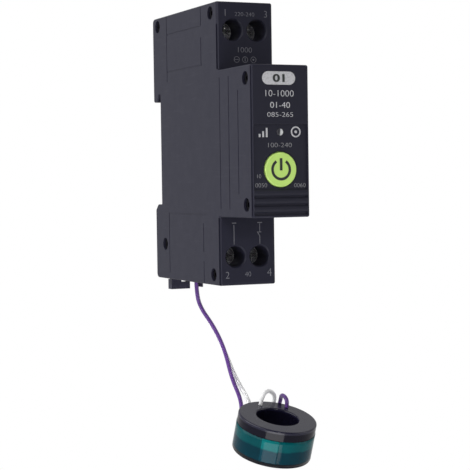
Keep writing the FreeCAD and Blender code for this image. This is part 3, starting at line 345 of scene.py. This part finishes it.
def fired(name, colour, roughness, pits):
    """Sintered ferrite or a dipped coat: matte, with small pits of a given number per metre and painted
    shade in them.
    """
    finish = Finish(name)
    holes = finish.steps(finish.noise(pits, 3.0, 0.7), (0.30, 0.0), (0.46, 1.0))
    # Painted shade: the pits are painted darker.
    finish.set(Base_Color=finish.blend(holes, shaded(colour, 0.55), colour),
               Roughness=roughness - holes * 0.08, Normal=finish.bump(holes, 0.02 * MM))
    return finish.material


def laminate(name):
    """A circuit board: green resist over a faint weave, with paler tracks in a grid of cells."""
    finish = Finish(name)
    cells = finish.node("ShaderNodeTexVoronoi", {"distance": "MANHATTAN", "feature": "DISTANCE_TO_EDGE"},
                        {"Vector": finish.place, "Scale": 420.0})
    tracks = cells < 0.09
    weave = finish.noise(3800.0, 1.0)
    finish.set(Base_Color=finish.blend(tracks, rgb(22, 78, 48), rgb(58, 118, 66)), Coat_Weight=0.5,
               Roughness=weave * 0.1 + 0.32, Normal=finish.bump(tracks, 0.03 * MM))
    return finish.material


copper_finish = wound("copper_wire", rgb(196, 106, 58), rgb(92, 42, 22), 0.25)
ferrite_finish = fired("ferrite", rgb(58, 58, 61), 0.66, 1900.0)
varistor_finish = fired("varistor_coat", rgb(44, 84, 150), 0.42, 900.0)
board_finish = laminate("board_laminate")
print("finishes so far:", len(bpy.data.materials))

# %% [markdown]
# ## Light pipe and leads
#
# The light pipe is milky and polished, and a ramp across it paints one half dark and the other pale, a
# painted shade and a painted highlight. Lead insulation is soft extruded plastic with faint drag lines.
# Light enters the white one and comes out again, which keeps its shaded side pale, so it gets a short
# subsurface distance, the same for all three colours.

# %% Light pipe and lead insulation
def clear_lens(name):
    """The light pipe: painted shade on the left, a painted highlight on the right, under a polished skin
    with fine swirls.
    """
    finish = Finish(name)
    swirl = finish.noise(700.0, 3.0)
    across = finish.node("ShaderNodeSeparateXYZ", {}, {"Vector": finish.place}, "X")
    # Painted light: a ramp across the pipe, painted shade on the left and a painted highlight on the right.
    painted_light_ramp = finish.steps(across * 600.0 + swirl * 0.3 + 0.35, (0.40, 0.0), (0.62, 1.0))
    finish.set(Base_Color=finish.blend(painted_light_ramp, rgb(58, 58, 64), rgb(206, 208, 210)), Coat_Weight=0.6,
               Roughness=swirl * 0.08 + 0.10, Normal=finish.bump(swirl, 0.004 * MM))
    return finish.material


def flexible(name, colour, shade, depth_share=0.0):
    """Lead insulation: extruded, glossy, with drag lines and dulled spots; light enters by the share."""
    finish = Finish(name)
    drag = finish.noise(1500.0, 2.0, 0.5, (1.0, 1.0, 0.15))
    spots = finish.noise(220.0, 3.0)
    finish.set(Base_Color=finish.blend(spots, shade, colour), Roughness=spots * 0.16 + 0.24,
               Coat_Weight=0.25, Coat_Roughness=0.2, Subsurface_Weight=depth_share,
               Subsurface_Scale=1.2 * MM, Subsurface_Radius=(1.0, 1.0, 1.0),
               Normal=finish.bump(drag, 0.004 * MM))
    return finish.material


lens_finish = clear_lens("lens_plastic")
purple_finish = flexible("purple_pvc", rgb(104, 62, 148), rgb(88, 48, 128))
white_finish = flexible("white_pvc", rgb(248, 248, 248), rgb(242, 242, 243), 1.0)
print("finishes so far:", len(bpy.data.materials))

# %% [markdown]
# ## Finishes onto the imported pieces
#
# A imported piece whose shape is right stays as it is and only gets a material. The record names a slot for
# each node, so one table from slot to finish covers them all, and a slot without a finish stops the
# script. The case of the ring is more polished than its lid, so it has a finish of its own.

# %% Dress the nodes
finish_of = {
    "case_plastic": case_finish, "panel_plastic": panel_finish, "button_plastic": button_finish,
    "lens_plastic": lens_finish, "clip_plastic": clip_finish, "bush_plastic": bush_finish,
    "rivet_steel": rivet_finish, "screw_steel": screw_finish, "cage_steel": cage_finish,
    "bar_copper": bar_finish, "board_laminate": board_finish, "part_plastic": part_finish,
    "switch_plastic": switch_finish, "can_metal": can_finish, "ferrite": ferrite_finish,
    "copper_wire": copper_finish, "relay_plastic": relay_finish, "varistor_coat": varistor_finish,
    "ring_plastic": ring_finish, "purple_pvc": purple_finish, "white_pvc": white_finish,
    "band_film": ring_finish, "soft_iron": iron_finish, "spring_bronze": bronze_finish,
    "contact_silver": silver_finish,
}
for row in frame["record"]["subparts"]:
    mesh = nodes[row["node"]].data
    mesh.materials.clear()
    mesh.materials.append(finish_of[row["material_slot"]])
nodes["ring_case"].data.materials[0] = ring_side_finish

# %% [markdown]
# ## Surfaces from numbers
#
# New pieces are grids of points worked out as arrays. One helper joins neighbours with quads, closes the
# ring where the last column meets the first, and caps open ends. A second turns the faces outwards by the
# sign of the volume that they enclose, and a third makes the mesh.

# %% Grid to mesh
def tube_faces(rows, columns, closed_rows=False):
    """Quads round a tube of rows by columns points, with flat caps unless the rows close on themselves."""
    row = np.arange(rows if closed_rows else rows - 1)[:, None]
    column = np.arange(columns)[None, :]
    beside = (column + 1) % columns
    here, above = row * columns, (row + 1) % rows * columns
    quads = np.stack([here + column, here + beside, above + beside, above + column], axis=-1)
    faces = quads.reshape(-1, 4).tolist()
    if not closed_rows:
        faces.append(np.arange(columns)[::-1].tolist())
        faces.append((np.arange(columns) + (rows - 1) * columns).tolist())
    return faces


def outward(points, faces):
    """Turns all faces round if the volume they enclose, summed over corner triangles, is negative."""
    total = 0.0
    for size in {len(face) for face in faces}:
        ring = points[np.array([face for face in faces if len(face) == size])]
        for k in range(1, size - 1):
            total += np.einsum("ij,ij->i", ring[:, 0], np.cross(ring[:, k], ring[:, k + 1])).sum()
    return faces if total > 0 else [face[::-1] for face in faces]


def mesh_piece(name, points, faces, material, smooth=True):
    """Makes an object at the origin from an array of points and lists of corners."""
    mesh = bpy.data.meshes.new(name)
    mesh.from_pydata(points.tolist(), [], faces)
    mesh.polygons.foreach_set("use_smooth", [smooth] * len(mesh.polygons))
    mesh.materials.append(material)
    mesh.update()
    piece = bpy.data.objects.new(name, mesh)
    bpy.context.scene.collection.objects.link(piece)
    print(name, "has", len(mesh.vertices), "points and", len(mesh.polygons), "faces")
    return piece


def carry(piece, name, values):
    """Writes one value per point onto a piece, for its finish to read."""
    attribute = piece.data.attributes.new(name, "FLOAT", "POINT")
    attribute.data.foreach_set("value", values.reshape(-1).astype(np.float32))


# %% [markdown]
# ## The tape round the ring
#
# The measuring ring hangs a little askew, so its pieces are easiest to write in its own frame, with the
# face of the lid at height 0, and are turned and moved into place at the end.

# %% Ring's own frame
ring_tilt_forward = math.radians(15.7)
ring_tilt_right = math.radians(4.3)
ring_turn = Matrix.Rotation(ring_tilt_forward, 3, "X") @ Matrix.Rotation(ring_tilt_right, 3, "Y")
ring_lid_centre = np.array([16.15, -31.55, -83.83]) * MM
ring_axes = np.array(ring_turn)


def from_ring(local):
    """Takes points in the ring's frame to the object's frame."""
    return local @ ring_axes.T + ring_lid_centre


print("the lid faces", tuple(round(value, 3) for value in ring_axes[:, 2]))

# %% [markdown]
# One and a bit turns of clear blue-green tape lie over the dark case. The first turn lies on the case.
# Just before it closes the film climbs onto its own start, so the last bit lies double, and there its
# colour is lighter, a painted reflection. The film is a thin closed skin between an inner and an outer
# surface, and its points carry their height and their place along the film, which the finish reads.

# %% Tape
tape_inner = 12.35 * MM
tape_thickness = 0.11 * MM
tape_top = -3.2 * MM
tape_width = 8.2 * MM
tape_start = math.radians(-135.0)
tape_turns = 1.07
tape_steps = 220
tape_rows = 9
climb_turns = 0.03
climb_height = 1.2 * tape_thickness


def tape_finish():
    """Clear tape: painted light under its upper edge, painted shade late in the first turn, a painted
    reflection where it lies double, black at its undyed foot, a little wrinkled, glossy.
    """
    finish = Finish("band_film")
    height = finish.attribute("tape_height")
    along = finish.attribute("tape_along")
    clouds = finish.noise(150.0, 4.0, 0.6)
    # Painted light: a paler band of colour under the upper edge of the tape.
    bright = finish.steps(height + (clouds - 0.5) * 0.14, (0.55, 0.0), (0.62, 1.0))
    dyed = finish.steps(height, (0.08, 0.0), (0.12, 1.0))
    # Painted shade: the colour darkens late in the first turn.
    painted_shade_late = finish.steps(along, (0.55, 0.0), (0.90, 1.0))
    lower = finish.blend(clouds, rgb(0, 40, 52), rgb(0, 58, 72))
    upper = finish.blend(clouds, rgb(0, 68, 74), rgb(0, 90, 94))
    single = finish.blend(painted_shade_late * 0.30, finish.blend(bright, lower, upper), rgb(0, 28, 36))
    # Painted reflection: where the tape lies double its colour is painted lighter.
    double_painted_reflection = finish.blend(bright, rgb(8, 58, 72), rgb(8, 106, 108))
    colour = finish.blend(along > 1.0, single, double_painted_reflection)
    wrinkles = finish.noise(160.0, 3.0, 0.5, (1.0, 1.0, 4.0))
    finish.set(Base_Color=finish.blend(dyed, rgb(14, 13, 20), colour), Roughness=clouds * 0.06 + 0.07,
               Specular_IOR_Level=0.12, Normal=finish.bump(wrinkles, 0.05 * MM))
    return finish.material


def wrapped_tape():
    """Radius = inner, plus a straight climb near one full turn; a closed flat section at each angle."""
    turns = np.linspace(0.0, tape_turns, tape_steps)
    angle = (tape_start + turns * 2 * math.pi)[:, None]
    climb = tape_thickness * np.maximum(0.0, turns - 1.0 + climb_turns) / climb_turns
    inner = tape_inner + np.minimum(climb, climb_height)
    heights = np.linspace(tape_top, tape_top - tape_width, tape_rows)
    section_out = np.concatenate([np.full(tape_rows, tape_thickness), np.zeros(tape_rows)])
    section_height = np.concatenate([heights, heights[::-1]])
    radius = inner[:, None] + section_out
    points = np.stack([radius * np.cos(angle), radius * np.sin(angle),
                       np.broadcast_to(section_height, radius.shape)], axis=-1)
    placed = from_ring(points.reshape(-1, 3))
    piece = mesh_piece("ring_tape", placed, outward(placed, tube_faces(tape_steps, 2 * tape_rows)),
                       tape_finish())
    carry(piece, "tape_height", np.tile((section_height - tape_top) / tape_width + 1.0, tape_steps))
    carry(piece, "tape_along", np.repeat(turns, 2 * tape_rows))
    return piece


ring_tape = wrapped_tape()
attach(ring_tape, "root")
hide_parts("ring_band")
print("flat length of the tape:", round(tape_turns * 2 * math.pi * (tape_inner + tape_thickness / 2), 4))

# %% [markdown]
# ## The two flexible leads
#
# The leads are a fixed length of soft wire that leave a bush under the case, hang down together, pass
# behind the measuring ring and come back over its rim into the lid. A smooth curve with a few listed
# control points bends the way such wire does. Each curve has the same route points, in millimetres, as the
# solid that it stands for, and cuts their corners a little.

# %% Leads
lead_diameter = 1.3 * MM
purple_length = 0.0744
white_length = 0.0730
purple_route = [
    (-0.35, -7.10, -41.30), (-0.35, -7.10, -45.40), (0.77, -6.86, -50.50), (4.78, -9.15, -57.15),
    (7.63, -10.94, -64.55), (9.09, -12.60, -73.48), (11.32, -14.74, -80.29), (11.51, -14.61, -84.96),
    (15.66, -12.89, -88.13), (20.49, -13.53, -88.06), (23.16, -16.02, -85.12), (23.56, -18.16, -81.58),
    (22.93, -20.59, -78.47), (23.01, -24.90, -80.00), (22.83, -24.25, -82.30),
]
white_route = [
    (0.35, -5.50, -41.30), (0.35, -5.50, -45.30), (1.60, -5.05, -50.70), (5.45, -7.04, -57.36),
    (8.50, -8.72, -65.14), (11.11, -11.55, -74.06), (13.17, -17.58, -80.86), (14.13, -16.11, -85.17),
    (17.50, -15.42, -86.90), (20.68, -16.29, -84.89), (21.56, -17.98, -81.48), (20.72, -19.98, -78.43),
    (17.27, -21.91, -76.73), (14.66, -23.36, -78.60), (14.45, -22.63, -81.19),
]


def lead(name, route, finish, length, node):
    """A round lead on a smooth curve through its control points, closed at both ends."""
    curve = bpy.data.curves.new(name, "CURVE")
    curve.dimensions = "3D"
    curve.bevel_depth = lead_diameter / 2
    curve.bevel_resolution = 6
    curve.resolution_u = 14
    curve.use_fill_caps = True
    spline = curve.splines.new("NURBS")
    spline.points.add(len(route) - 1)
    for point, place in zip(spline.points, route):
        point.co = (*(value * MM for value in place), 1.0)
    spline.order_u = 3
    spline.use_endpoint_u = True
    curve.materials.append(finish)
    piece = bpy.data.objects.new(name, curve)
    bpy.context.scene.collection.objects.link(piece)
    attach(piece, "root")
    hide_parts(node)
    print(name, "runs through", len(route), "points and is", length, "m long")
    return piece


ring_pieces = [nodes[name] for name in ("ring_case", "ring_lid", "ring_core", "ring_winding")]
ring_pieces.append(ring_tape)
purple_flex = lead("purple_flex", purple_route, purple_finish, purple_length, "purple_lead")
white_flex = lead("white_flex", white_route, white_finish, white_length, "white_lead")

# %% [markdown]
# ## Threaded screws
#
# Each terminal screw has a cheese head with a combined slot and cross, and a real thread. The whole screw
# is one surface of rows from the crown to the tip. The thread's radius is a triangle wave of height minus
# angle, so the ridge climbs one pitch per turn, and it fades out over the last rows.

# %% Rows of a screw
thread_pitch = 0.8 * MM
thread_depth = 0.42 * MM
head_height = 2.0 * MM
shank_radius = 2.25 * MM
bevel_share = 0.10
crown_rows = 34
bevel_rows = 6
rows_per_pitch = 12
fading_rows = 14
screw_columns = 64


def screw_rows(head_radius, shank_length):
    """Radius, height and thread share of each row: crown, quarter-round rim, side of the head, shank."""
    crown = np.linspace(0.04, 1.0 - bevel_share, crown_rows) * head_radius
    bevel = np.linspace(0.0, math.pi / 2, bevel_rows)
    rim_radius = head_radius * (1.0 - bevel_share + bevel_share * np.sin(bevel))
    rim_height = head_radius * bevel_share * (1 - np.cos(bevel))
    threads = np.arange(head_height, head_height + shank_length, thread_pitch / rows_per_pitch)
    shank = np.full(len(threads), shank_radius)
    radius = np.concatenate([crown, rim_radius, [head_radius * 0.985, shank_radius], shank])
    height = np.concatenate([np.zeros(crown_rows), rim_height, [head_height * 0.97, head_height], threads])
    share = np.concatenate([np.zeros(len(radius) - len(threads)), np.ones(len(threads))])
    share[-fading_rows:] *= np.linspace(1.0, 0.0, fading_rows)
    return radius[:, None], height[:, None], share[:, None]


# %% [markdown]
# The top of the head is a polar grid. Its points are pushed down inside the outlines of the slot and the
# cross, with sloping walls a fraction of a millimetre wide, and a slight dome lets the rim fall away. Each
# screw fills the box of its node and rides on the body that turns.

# %% Screws
slot_width = 0.8 * MM
slot_depth = 0.85 * MM
cross_depth = 1.2 * MM
cross_reach = 2.0 * MM
edge_softness = 0.09 * MM
head_dome = 0.3 * MM
crown_zone = 0.5 * MM


def soft_inside(distance):
    """1 inside an outline, 0 outside it, with a sloping wall; distance is positive outside."""
    return np.clip(0.5 - distance / (2 * edge_softness), 0.0, 1.0)


def threaded_screw(name, node, body, finish):
    """A screw inside its node's box, with its head towards the front."""
    low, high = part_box(node)
    centre_x, centre_z = (low.x + high.x) / 2, (low.z + high.z) / 2
    head_radius = (high.x - low.x) / 2
    radius, height, share = screw_rows(head_radius, high.y - low.y - head_height)
    angle = np.arange(screw_columns) * 2 * math.pi / screw_columns
    phase = (height / thread_pitch - angle / (2 * math.pi)) % 1.0
    reach = radius - share * thread_depth * np.abs(phase * 2 - 1)
    x, z = reach * np.cos(angle), reach * np.sin(angle)
    slot = soft_inside(np.abs(z) - slot_width / 2)
    cross = soft_inside(np.maximum(np.abs(x) - slot_width / 2, np.abs(z) - cross_reach))
    depth = np.maximum(slot * slot_depth, cross * cross_depth)
    top = (height < crown_zone) & (radius < head_radius * 0.999)
    dome = head_dome * (radius / head_radius) ** 2
    y = height + np.where(top, dome + np.maximum(0.0, depth - height), 0.0)
    points = np.stack([centre_x + x, low.y + y, centre_z + z], axis=-1).reshape(-1, 3)
    piece = mesh_piece(name, points, outward(points, tube_faces(len(radius), screw_columns)), finish)
    # The recess value paints shade into the slot and the cross.
    carry(piece, "recess", np.where(top, depth / cross_depth, 0.0))
    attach(piece, body)
    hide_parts(node)


for end in ("top", "bottom"):
    for side in ("left", "right"):
        place = end + "_" + side
        threaded_screw("clamp_screw_" + place, "terminal_screw_" + place, "screw_" + place, screw_finish)

# %% [markdown]
# ## Printed marks
#
# The marks are pad printed: a thin film of ink, a few hundredths of a millimetre proud. Lines and rings
# are a flat ribbon carried along a path, and filled signs are a plate over an outline. Both work in
# millimetres on the face, across and up, with the ink's level as the third value.

# %% Ink shapes
ink_height = 0.03
ink_sink = 0.01
circle_points = 40


def arc(x, z, radius, start, end, count):
    """Points on a circle between two angles in degrees."""
    angle = np.radians(np.linspace(start, end, count))
    return np.column_stack([x + radius * np.cos(angle), z + radius * np.sin(angle)])


def round_path(x, z, radius):
    """Points all round a circle, without the first one again."""
    return arc(x, z, radius, 0.0, 360.0 - 360.0 / circle_points, circle_points)


def unit(vectors):
    """Each row divided by its length."""
    return vectors / np.linalg.norm(vectors, axis=1, keepdims=True)


def at_level(outline, level):
    """A flat outline at one level of the ink."""
    return np.column_stack([outline, np.full(len(outline), level)])


def ribbon(path, width, closed=False):
    """A flat ribbon of rectangular section: the path moved half a width along its mitred normal."""
    path = np.asarray(path, float)
    ahead = np.roll(path, -1, axis=0) - path
    behind = path - np.roll(path, 1, axis=0)
    if not closed:
        ahead[-1] = behind[-1]
        behind[0] = ahead[0]
    along = unit(ahead) + unit(behind)
    length = np.linalg.norm(along, axis=1, keepdims=True)
    normal = np.stack([-along[:, 1], along[:, 0]], axis=1) / length ** 2 * width
    left, right = path + normal, path - normal
    corners = [at_level(left, ink_height), at_level(right, ink_height),
               at_level(right, -ink_sink), at_level(left, -ink_sink)]
    return np.stack(corners, axis=1).reshape(-1, 3), tube_faces(len(path), 4, closed)


def plate(outline):
    """A filled flat shape: its outline at the ink's foot and top, joined all round."""
    points = np.concatenate([at_level(outline, -ink_sink), at_level(outline, ink_height)])
    return points, tube_faces(2, len(outline))


def circle(x, z, radius, width):
    return ribbon(round_path(x, z, radius), width, closed=True)


def disc(x, z, radius):
    return plate(round_path(x, z, radius))


def line(x0, z0, x1, z1, width):
    return ribbon([(x0, z0), (x1, z1)], width)


def pill(x, z, half_width, half_height):
    """A filled field with round ends."""
    inner = half_width - half_height
    return plate(np.concatenate([arc(x + inner, z, half_height, -90.0, 90.0, 24),
                                 arc(x - inner, z, half_height, 90.0, 270.0, 24)]))


# %% [markdown]
# Figures come from Blender's own font: a text curve is made a mesh, read back as an array, and scaled to
# the height that is asked for. All marks of one ink on one face are joined into one piece that rides on
# one body. The ink covers slightly unevenly.

# %% Figures and ink
figure_depth = 0.5
figure_thinning = 0.014


def number(text, x, z, height, wide=1.0, weight=0.0):
    """Plain figures about a centre: as tall as asked, and as wide as they come, times a factor."""
    curve = bpy.data.curves.new("figures", "FONT")
    curve.body = text
    curve.extrude = figure_depth
    curve.offset = weight - figure_thinning
    curve.resolution_u = 5
    holder = bpy.data.objects.new("figures", curve)
    bpy.context.scene.collection.objects.link(holder)
    bpy.context.view_layer.update()
    made = bpy.data.meshes.new_from_object(holder.evaluated_get(bpy.context.evaluated_depsgraph_get()))
    points = np.zeros(len(made.vertices) * 3)
    made.vertices.foreach_get("co", points)
    points = points.reshape(-1, 3)
    faces = [list(polygon.vertices) for polygon in made.polygons]
    bpy.data.objects.remove(holder)
    bpy.data.meshes.remove(made)
    low, high = points.min(0), points.max(0)
    size = height / (high[1] - low[1])
    centred = points - (low + high) / 2
    rise = (centred[:, 2] + figure_depth) / (2 * figure_depth)
    level = rise * (ink_height + ink_sink) - ink_sink
    return np.column_stack([x + centred[:, 0] * size * wide, z + centred[:, 1] * size, level]), faces


def printed(name, shapes, face_y, body, ink):
    """Joins flat shapes, given in millimetres, into one piece of ink on a face that looks to the front."""
    points, faces, count = [], [], 0
    for shape, shape_faces in shapes:
        placed = np.column_stack([shape[:, 0] * MM, face_y - shape[:, 2] * MM, shape[:, 1] * MM])
        points.append(placed)
        faces += [[corner + count for corner in face] for face in outward(placed, shape_faces)]
        count += len(placed)
    piece = mesh_piece(name, np.concatenate(points), faces, ink, smooth=False)
    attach(piece, body)


def ink_finish(name, colour):
    """Pad printing ink: slightly uneven cover and a soft sheen."""
    finish = Finish(name)
    cover = finish.noise(2400.0, 3.0)
    full = finish.steps(cover, (0.30, 0.0), (0.50, 1.0))
    finish.set(Base_Color=finish.blend(full, shaded(colour, 0.72), colour),
               Roughness=cover * 0.2 + 0.40, Normal=finish.bump(cover, 0.004 * MM))
    return finish.material


pale_ink = ink_finish("pale_ink", rgb(196, 196, 200))
middle_ink = ink_finish("middle_ink", rgb(138, 138, 142))
grey_ink = ink_finish("grey_ink", rgb(112, 112, 120))
dark_ink = ink_finish("dark_ink", rgb(40, 44, 44))

# %% [markdown]
# The terminal faces carry the terminals' numbers, a few small signs, and below the nose the plain circuit
# lines, with an open contact on the right one.

# %% Marks on the terminal faces
shoulder_face = -46.0 * MM
top_marks = [
    number("1", -6.22, 38.80, 2.00), number("3", 6.85, 38.73, 1.95),
    number("220-240", 0.00, 38.50, 1.15, 1.15), number("1000", 0.00, 28.05, 1.50, 1.15),
    circle(-2.7, 25.2, 0.85, 0.14), circle(0.0, 25.2, 0.85, 0.14), circle(2.7, 25.2, 0.85, 0.14),
    line(-3.3, 25.2, -2.1, 25.2, 0.16), line(0.0, 24.6, 0.0, 25.8, 0.16), disc(2.7, 25.2, 0.30),
]
printed("top_marks", top_marks, shoulder_face, "root", grey_ink)
left_line, right_line = -4.4, 4.0
bottom_marks = [
    number("2", -6.65, -38.20, 2.00), number("4", 7.00, -37.75, 2.30),
    number("40", 0.00, -38.10, 1.40),
    line(-5.0, -22.9, -3.6, -22.9, 0.30), line(left_line, -23.4, left_line, -29.2, 0.22),
    line(3.3, -22.9, 4.8, -22.9, 0.30), line(right_line, -23.2, right_line, -25.7, 0.22),
    line(right_line, -26.9, right_line, -29.2, 0.22),
    line(right_line, -26.9, right_line - 0.8, -25.6, 0.22),
    line(right_line - 0.5, -25.7, right_line + 0.5, -25.7, 0.22),
]
printed("bottom_marks", bottom_marks, shoulder_face, "root", grey_ink)

# %% [markdown]
# The nose carries a pale field above three lines of figures on its raised part. On its flat part, which
# lies 0.4 mm deeper, there are three rising bars, a ring with a dot and small figures round the button.

# %% Marks on the nose
upper_face = -69.0 * MM
middle_face = upper_face + 0.4 * MM
field_centre = (-0.35, 18.15)
upper_marks = [
    pill(*field_centre, 5.15, 1.85), number("10-1000", -0.10, 13.88, 1.75, 1.1),
    number("01-40", 0.00, 10.62, 1.65, 1.15, 0.01), number("085-265", 0.00, 7.95, 1.30, 1.3),
]
printed("upper_marks", upper_marks, upper_face, "root", pale_ink)
field_points, field_faces = number("01", *field_centre, 2.30, 1.5, 0.05)
pill_marks = [(field_points + np.array([0.0, 0.0, ink_height]), field_faces)]
printed("pill_marks", pill_marks, upper_face, "root", dark_ink)
middle_marks = [
    line(-6.3, 1.6, -6.3, 2.5, 0.55), line(-5.2, 1.6, -5.2, 3.3, 0.55), line(-4.1, 1.6, -4.1, 4.2, 0.55),
    circle(5.0, 3.1, 1.35, 0.38), disc(5.0, 3.1, 0.4),
]
printed("middle_marks", middle_marks, middle_face, "root", pale_ink)
small_marks = [
    number("100-240", 0.00, -0.60, 1.25, 1.3), number("10", -6.60, -9.30, 1.10),
    number("0050", -6.00, -11.85, 1.15, 1.1), number("0060", 6.10, -11.95, 1.15, 1.1),
]
printed("small_marks", small_marks, middle_face, "root", middle_ink)

# %% [markdown]
# The button carries the common on and off sign: an open ring and an upright bar. It is printed dark and
# rides on the button, so it moves when the button is pressed.

# %% Sign on the button
button_low, button_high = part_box("power_button")
button_x = (button_low.x + button_high.x) / 2 / MM
button_z = -7.5
sign_radius = 2.7
sign_width = 0.78
sign_gap = 33.0
bar_foot, bar_head, bar_width = button_z - 0.25, button_z + 3.2, 0.82
button_sign = [
    ribbon(arc(button_x, button_z, sign_radius, 90.0 + sign_gap, 450.0 - sign_gap, 72), sign_width),
    line(button_x, bar_foot, button_x, bar_head, bar_width),
]
printed("button_sign", button_sign, button_low.y, "button", dark_ink)

# %% [markdown]
# ## Studio
#
# Dark plastic shows mostly what it mirrors: the side of the case mirrors the white backdrop, and the front
# faces the dimmer room behind the camera. The world gives both, with levels that depend on the kind of
# ray: white for the camera, a soft rise towards the back for matte shading, and for mirrored and
# transmitted rays a backdrop that fades to a dim room on the camera's side.

# %% World
world = bpy.data.worlds.new("studio")
bpy.context.scene.world = world
world.use_nodes = True
sky = Nodes(world.node_tree)
white = (1.0, 1.0, 1.0, 1.0)
key_direction = Vector((-0.10, 0.97, 0.20)).normalized()
level_forward = Vector((camera_forward.x, camera_forward.y, 0.0)).normalized()
room_bright = 1.0
room_dim = 0.10
backdrop = 0.62


def sky_fade(axis, start, end, bright):
    """Light level over the sky: from the dim room to bright as the direction turns towards the axis."""
    direction = sky.node("ShaderNodeTexCoord", {}, {}, "Generated")
    towards = sky.node("ShaderNodeVectorMath", {"operation": "DOT_PRODUCT"},
                       {0: direction, 1: axis}, "Value")
    sockets = {"Value": towards, "From Min": start, "From Max": end, "To Min": room_dim, "To Max": bright}
    return sky.node("ShaderNodeMapRange", {"interpolation_type": "SMOOTHSTEP"}, sockets)


def ray_kinds(tree):
    """Whether a ray comes from the camera, from a mirroring surface or through a clear one."""
    return [tree.node("ShaderNodeLightPath", {}, {}, name)
            for name in ("Is Camera Ray", "Is Glossy Ray", "Is Transmission Ray")]


from_camera, from_gloss, from_clear = ray_kinds(sky)
mirrored = sky.node("ShaderNodeMath", {"operation": "MAXIMUM"}, {0: from_gloss, 1: from_clear})
matte_level = sky_fade(key_direction, -0.6, 0.9, room_bright)
mirror_level = sky_fade(level_forward, -0.75, 0.35, backdrop)
unseen = sky.node("ShaderNodeMix", {}, {0: mirrored, 2: matte_level, 3: mirror_level})
seen = sky.node("ShaderNodeMix", {}, {0: from_camera, 2: unseen, 3: 1.0})
background = world.node_tree.nodes["Background"]
sky.feed(background.inputs["Color"], white)
sky.feed(background.inputs["Strength"], seen)
print("world levels: room", room_dim, "to", room_bright, "and backdrop", backdrop)

# %% [markdown]
# Five lamps add shape. The main one is large and stands to the left above the side of the case. A weak
# wide one and a small one in front light the panel and give the screws their glints. One on the right
# lights the far side of the ring, and a low one puts its own reflection onto the tape.

# %% Soft lights
def softbox(name, place, target, width, height, power):
    """A rectangular lamp that faces a point."""
    data = bpy.data.lights.new(name, "AREA")
    data.shape = "RECTANGLE"
    data.size = width
    data.size_y = height
    data.energy = power
    lamp = bpy.data.objects.new(name, data)
    bpy.context.scene.collection.objects.link(lamp)
    lamp.location = place
    lamp.rotation_mode = "QUATERNION"
    lamp.rotation_quaternion = (Vector(target) - Vector(place)).to_track_quat("-Z", "Y")
    print(name, "gives", power, "W over", width, "by", height, "m")


middle = (0.0, -0.03, -0.02)
softbox("front_softbox", (-0.36, -0.62, 0.10), middle, 0.80, 0.80, 0.28)
softbox("left_softbox", (-0.72, -0.02, 0.48), middle, 1.10, 1.10, 8.6)
softbox("right_softbox", (0.70, -0.45, 0.15), middle, 0.50, 0.70, 1.0)
softbox("low_softbox", (-0.104, -0.217, -0.227), (0.010, -0.041, -0.091), 0.228, 0.10, 0.30)
softbox("small_lamp", (-0.12, -0.55, 0.12), (0.0, -0.046, 0.0), 0.05, 0.05, 0.34)

# %% [markdown]
# A pale floor lies far below. Near the middle it is a plain matte sheet that takes the object's shadow.
# Further out it turns into the background's own white for the camera and for mirrored and transmitted
# rays, so that no edge of it shows.

# %% Floor
floor_level = -0.30
floor_half = 1.5
floor_corners = np.array([(-1, -1, 0), (1, -1, 0), (1, 1, 0), (-1, 1, 0)])
floor_points = floor_corners * floor_half + np.array([0, 0, floor_level])
floor_finish = Finish("floor")
sheet = floor_finish.noise(6.0, 3.0)
floor_finish.set(Base_Color=floor_finish.blend(sheet, rgb(208, 208, 208), rgb(216, 216, 216)),
                 Roughness=sheet * 0.1 + 0.85)
away = floor_finish.node("ShaderNodeVectorMath", {"operation": "LENGTH"}, {0: floor_finish.place}, "Value")
from_camera, from_gloss, from_clear = ray_kinds(floor_finish)
level = from_camera * (1.0 - backdrop) + backdrop
glow = floor_finish.node("ShaderNodeEmission", {}, {"Color": white, "Strength": level})
share = floor_finish.steps(away, (0.35, 0.0), (0.80, 1.0)) * (from_camera + from_gloss + from_clear)
matte = Field(floor_finish, floor_finish.shader.outputs[0])
surface = floor_finish.node("ShaderNodeMixShader", {}, {0: share, 1: matte, 2: glow})
floor_finish.feed(floor_finish.tree.nodes["Material Output"].inputs["Surface"], surface)
floor = mesh_piece("floor", floor_points, [[0, 1, 2, 3]], floor_finish.material, smooth=False)

# %% [markdown]
# ## Last update
#
# Last, the view layer is updated once more.

# %% Finish
bpy.context.view_layer.update()
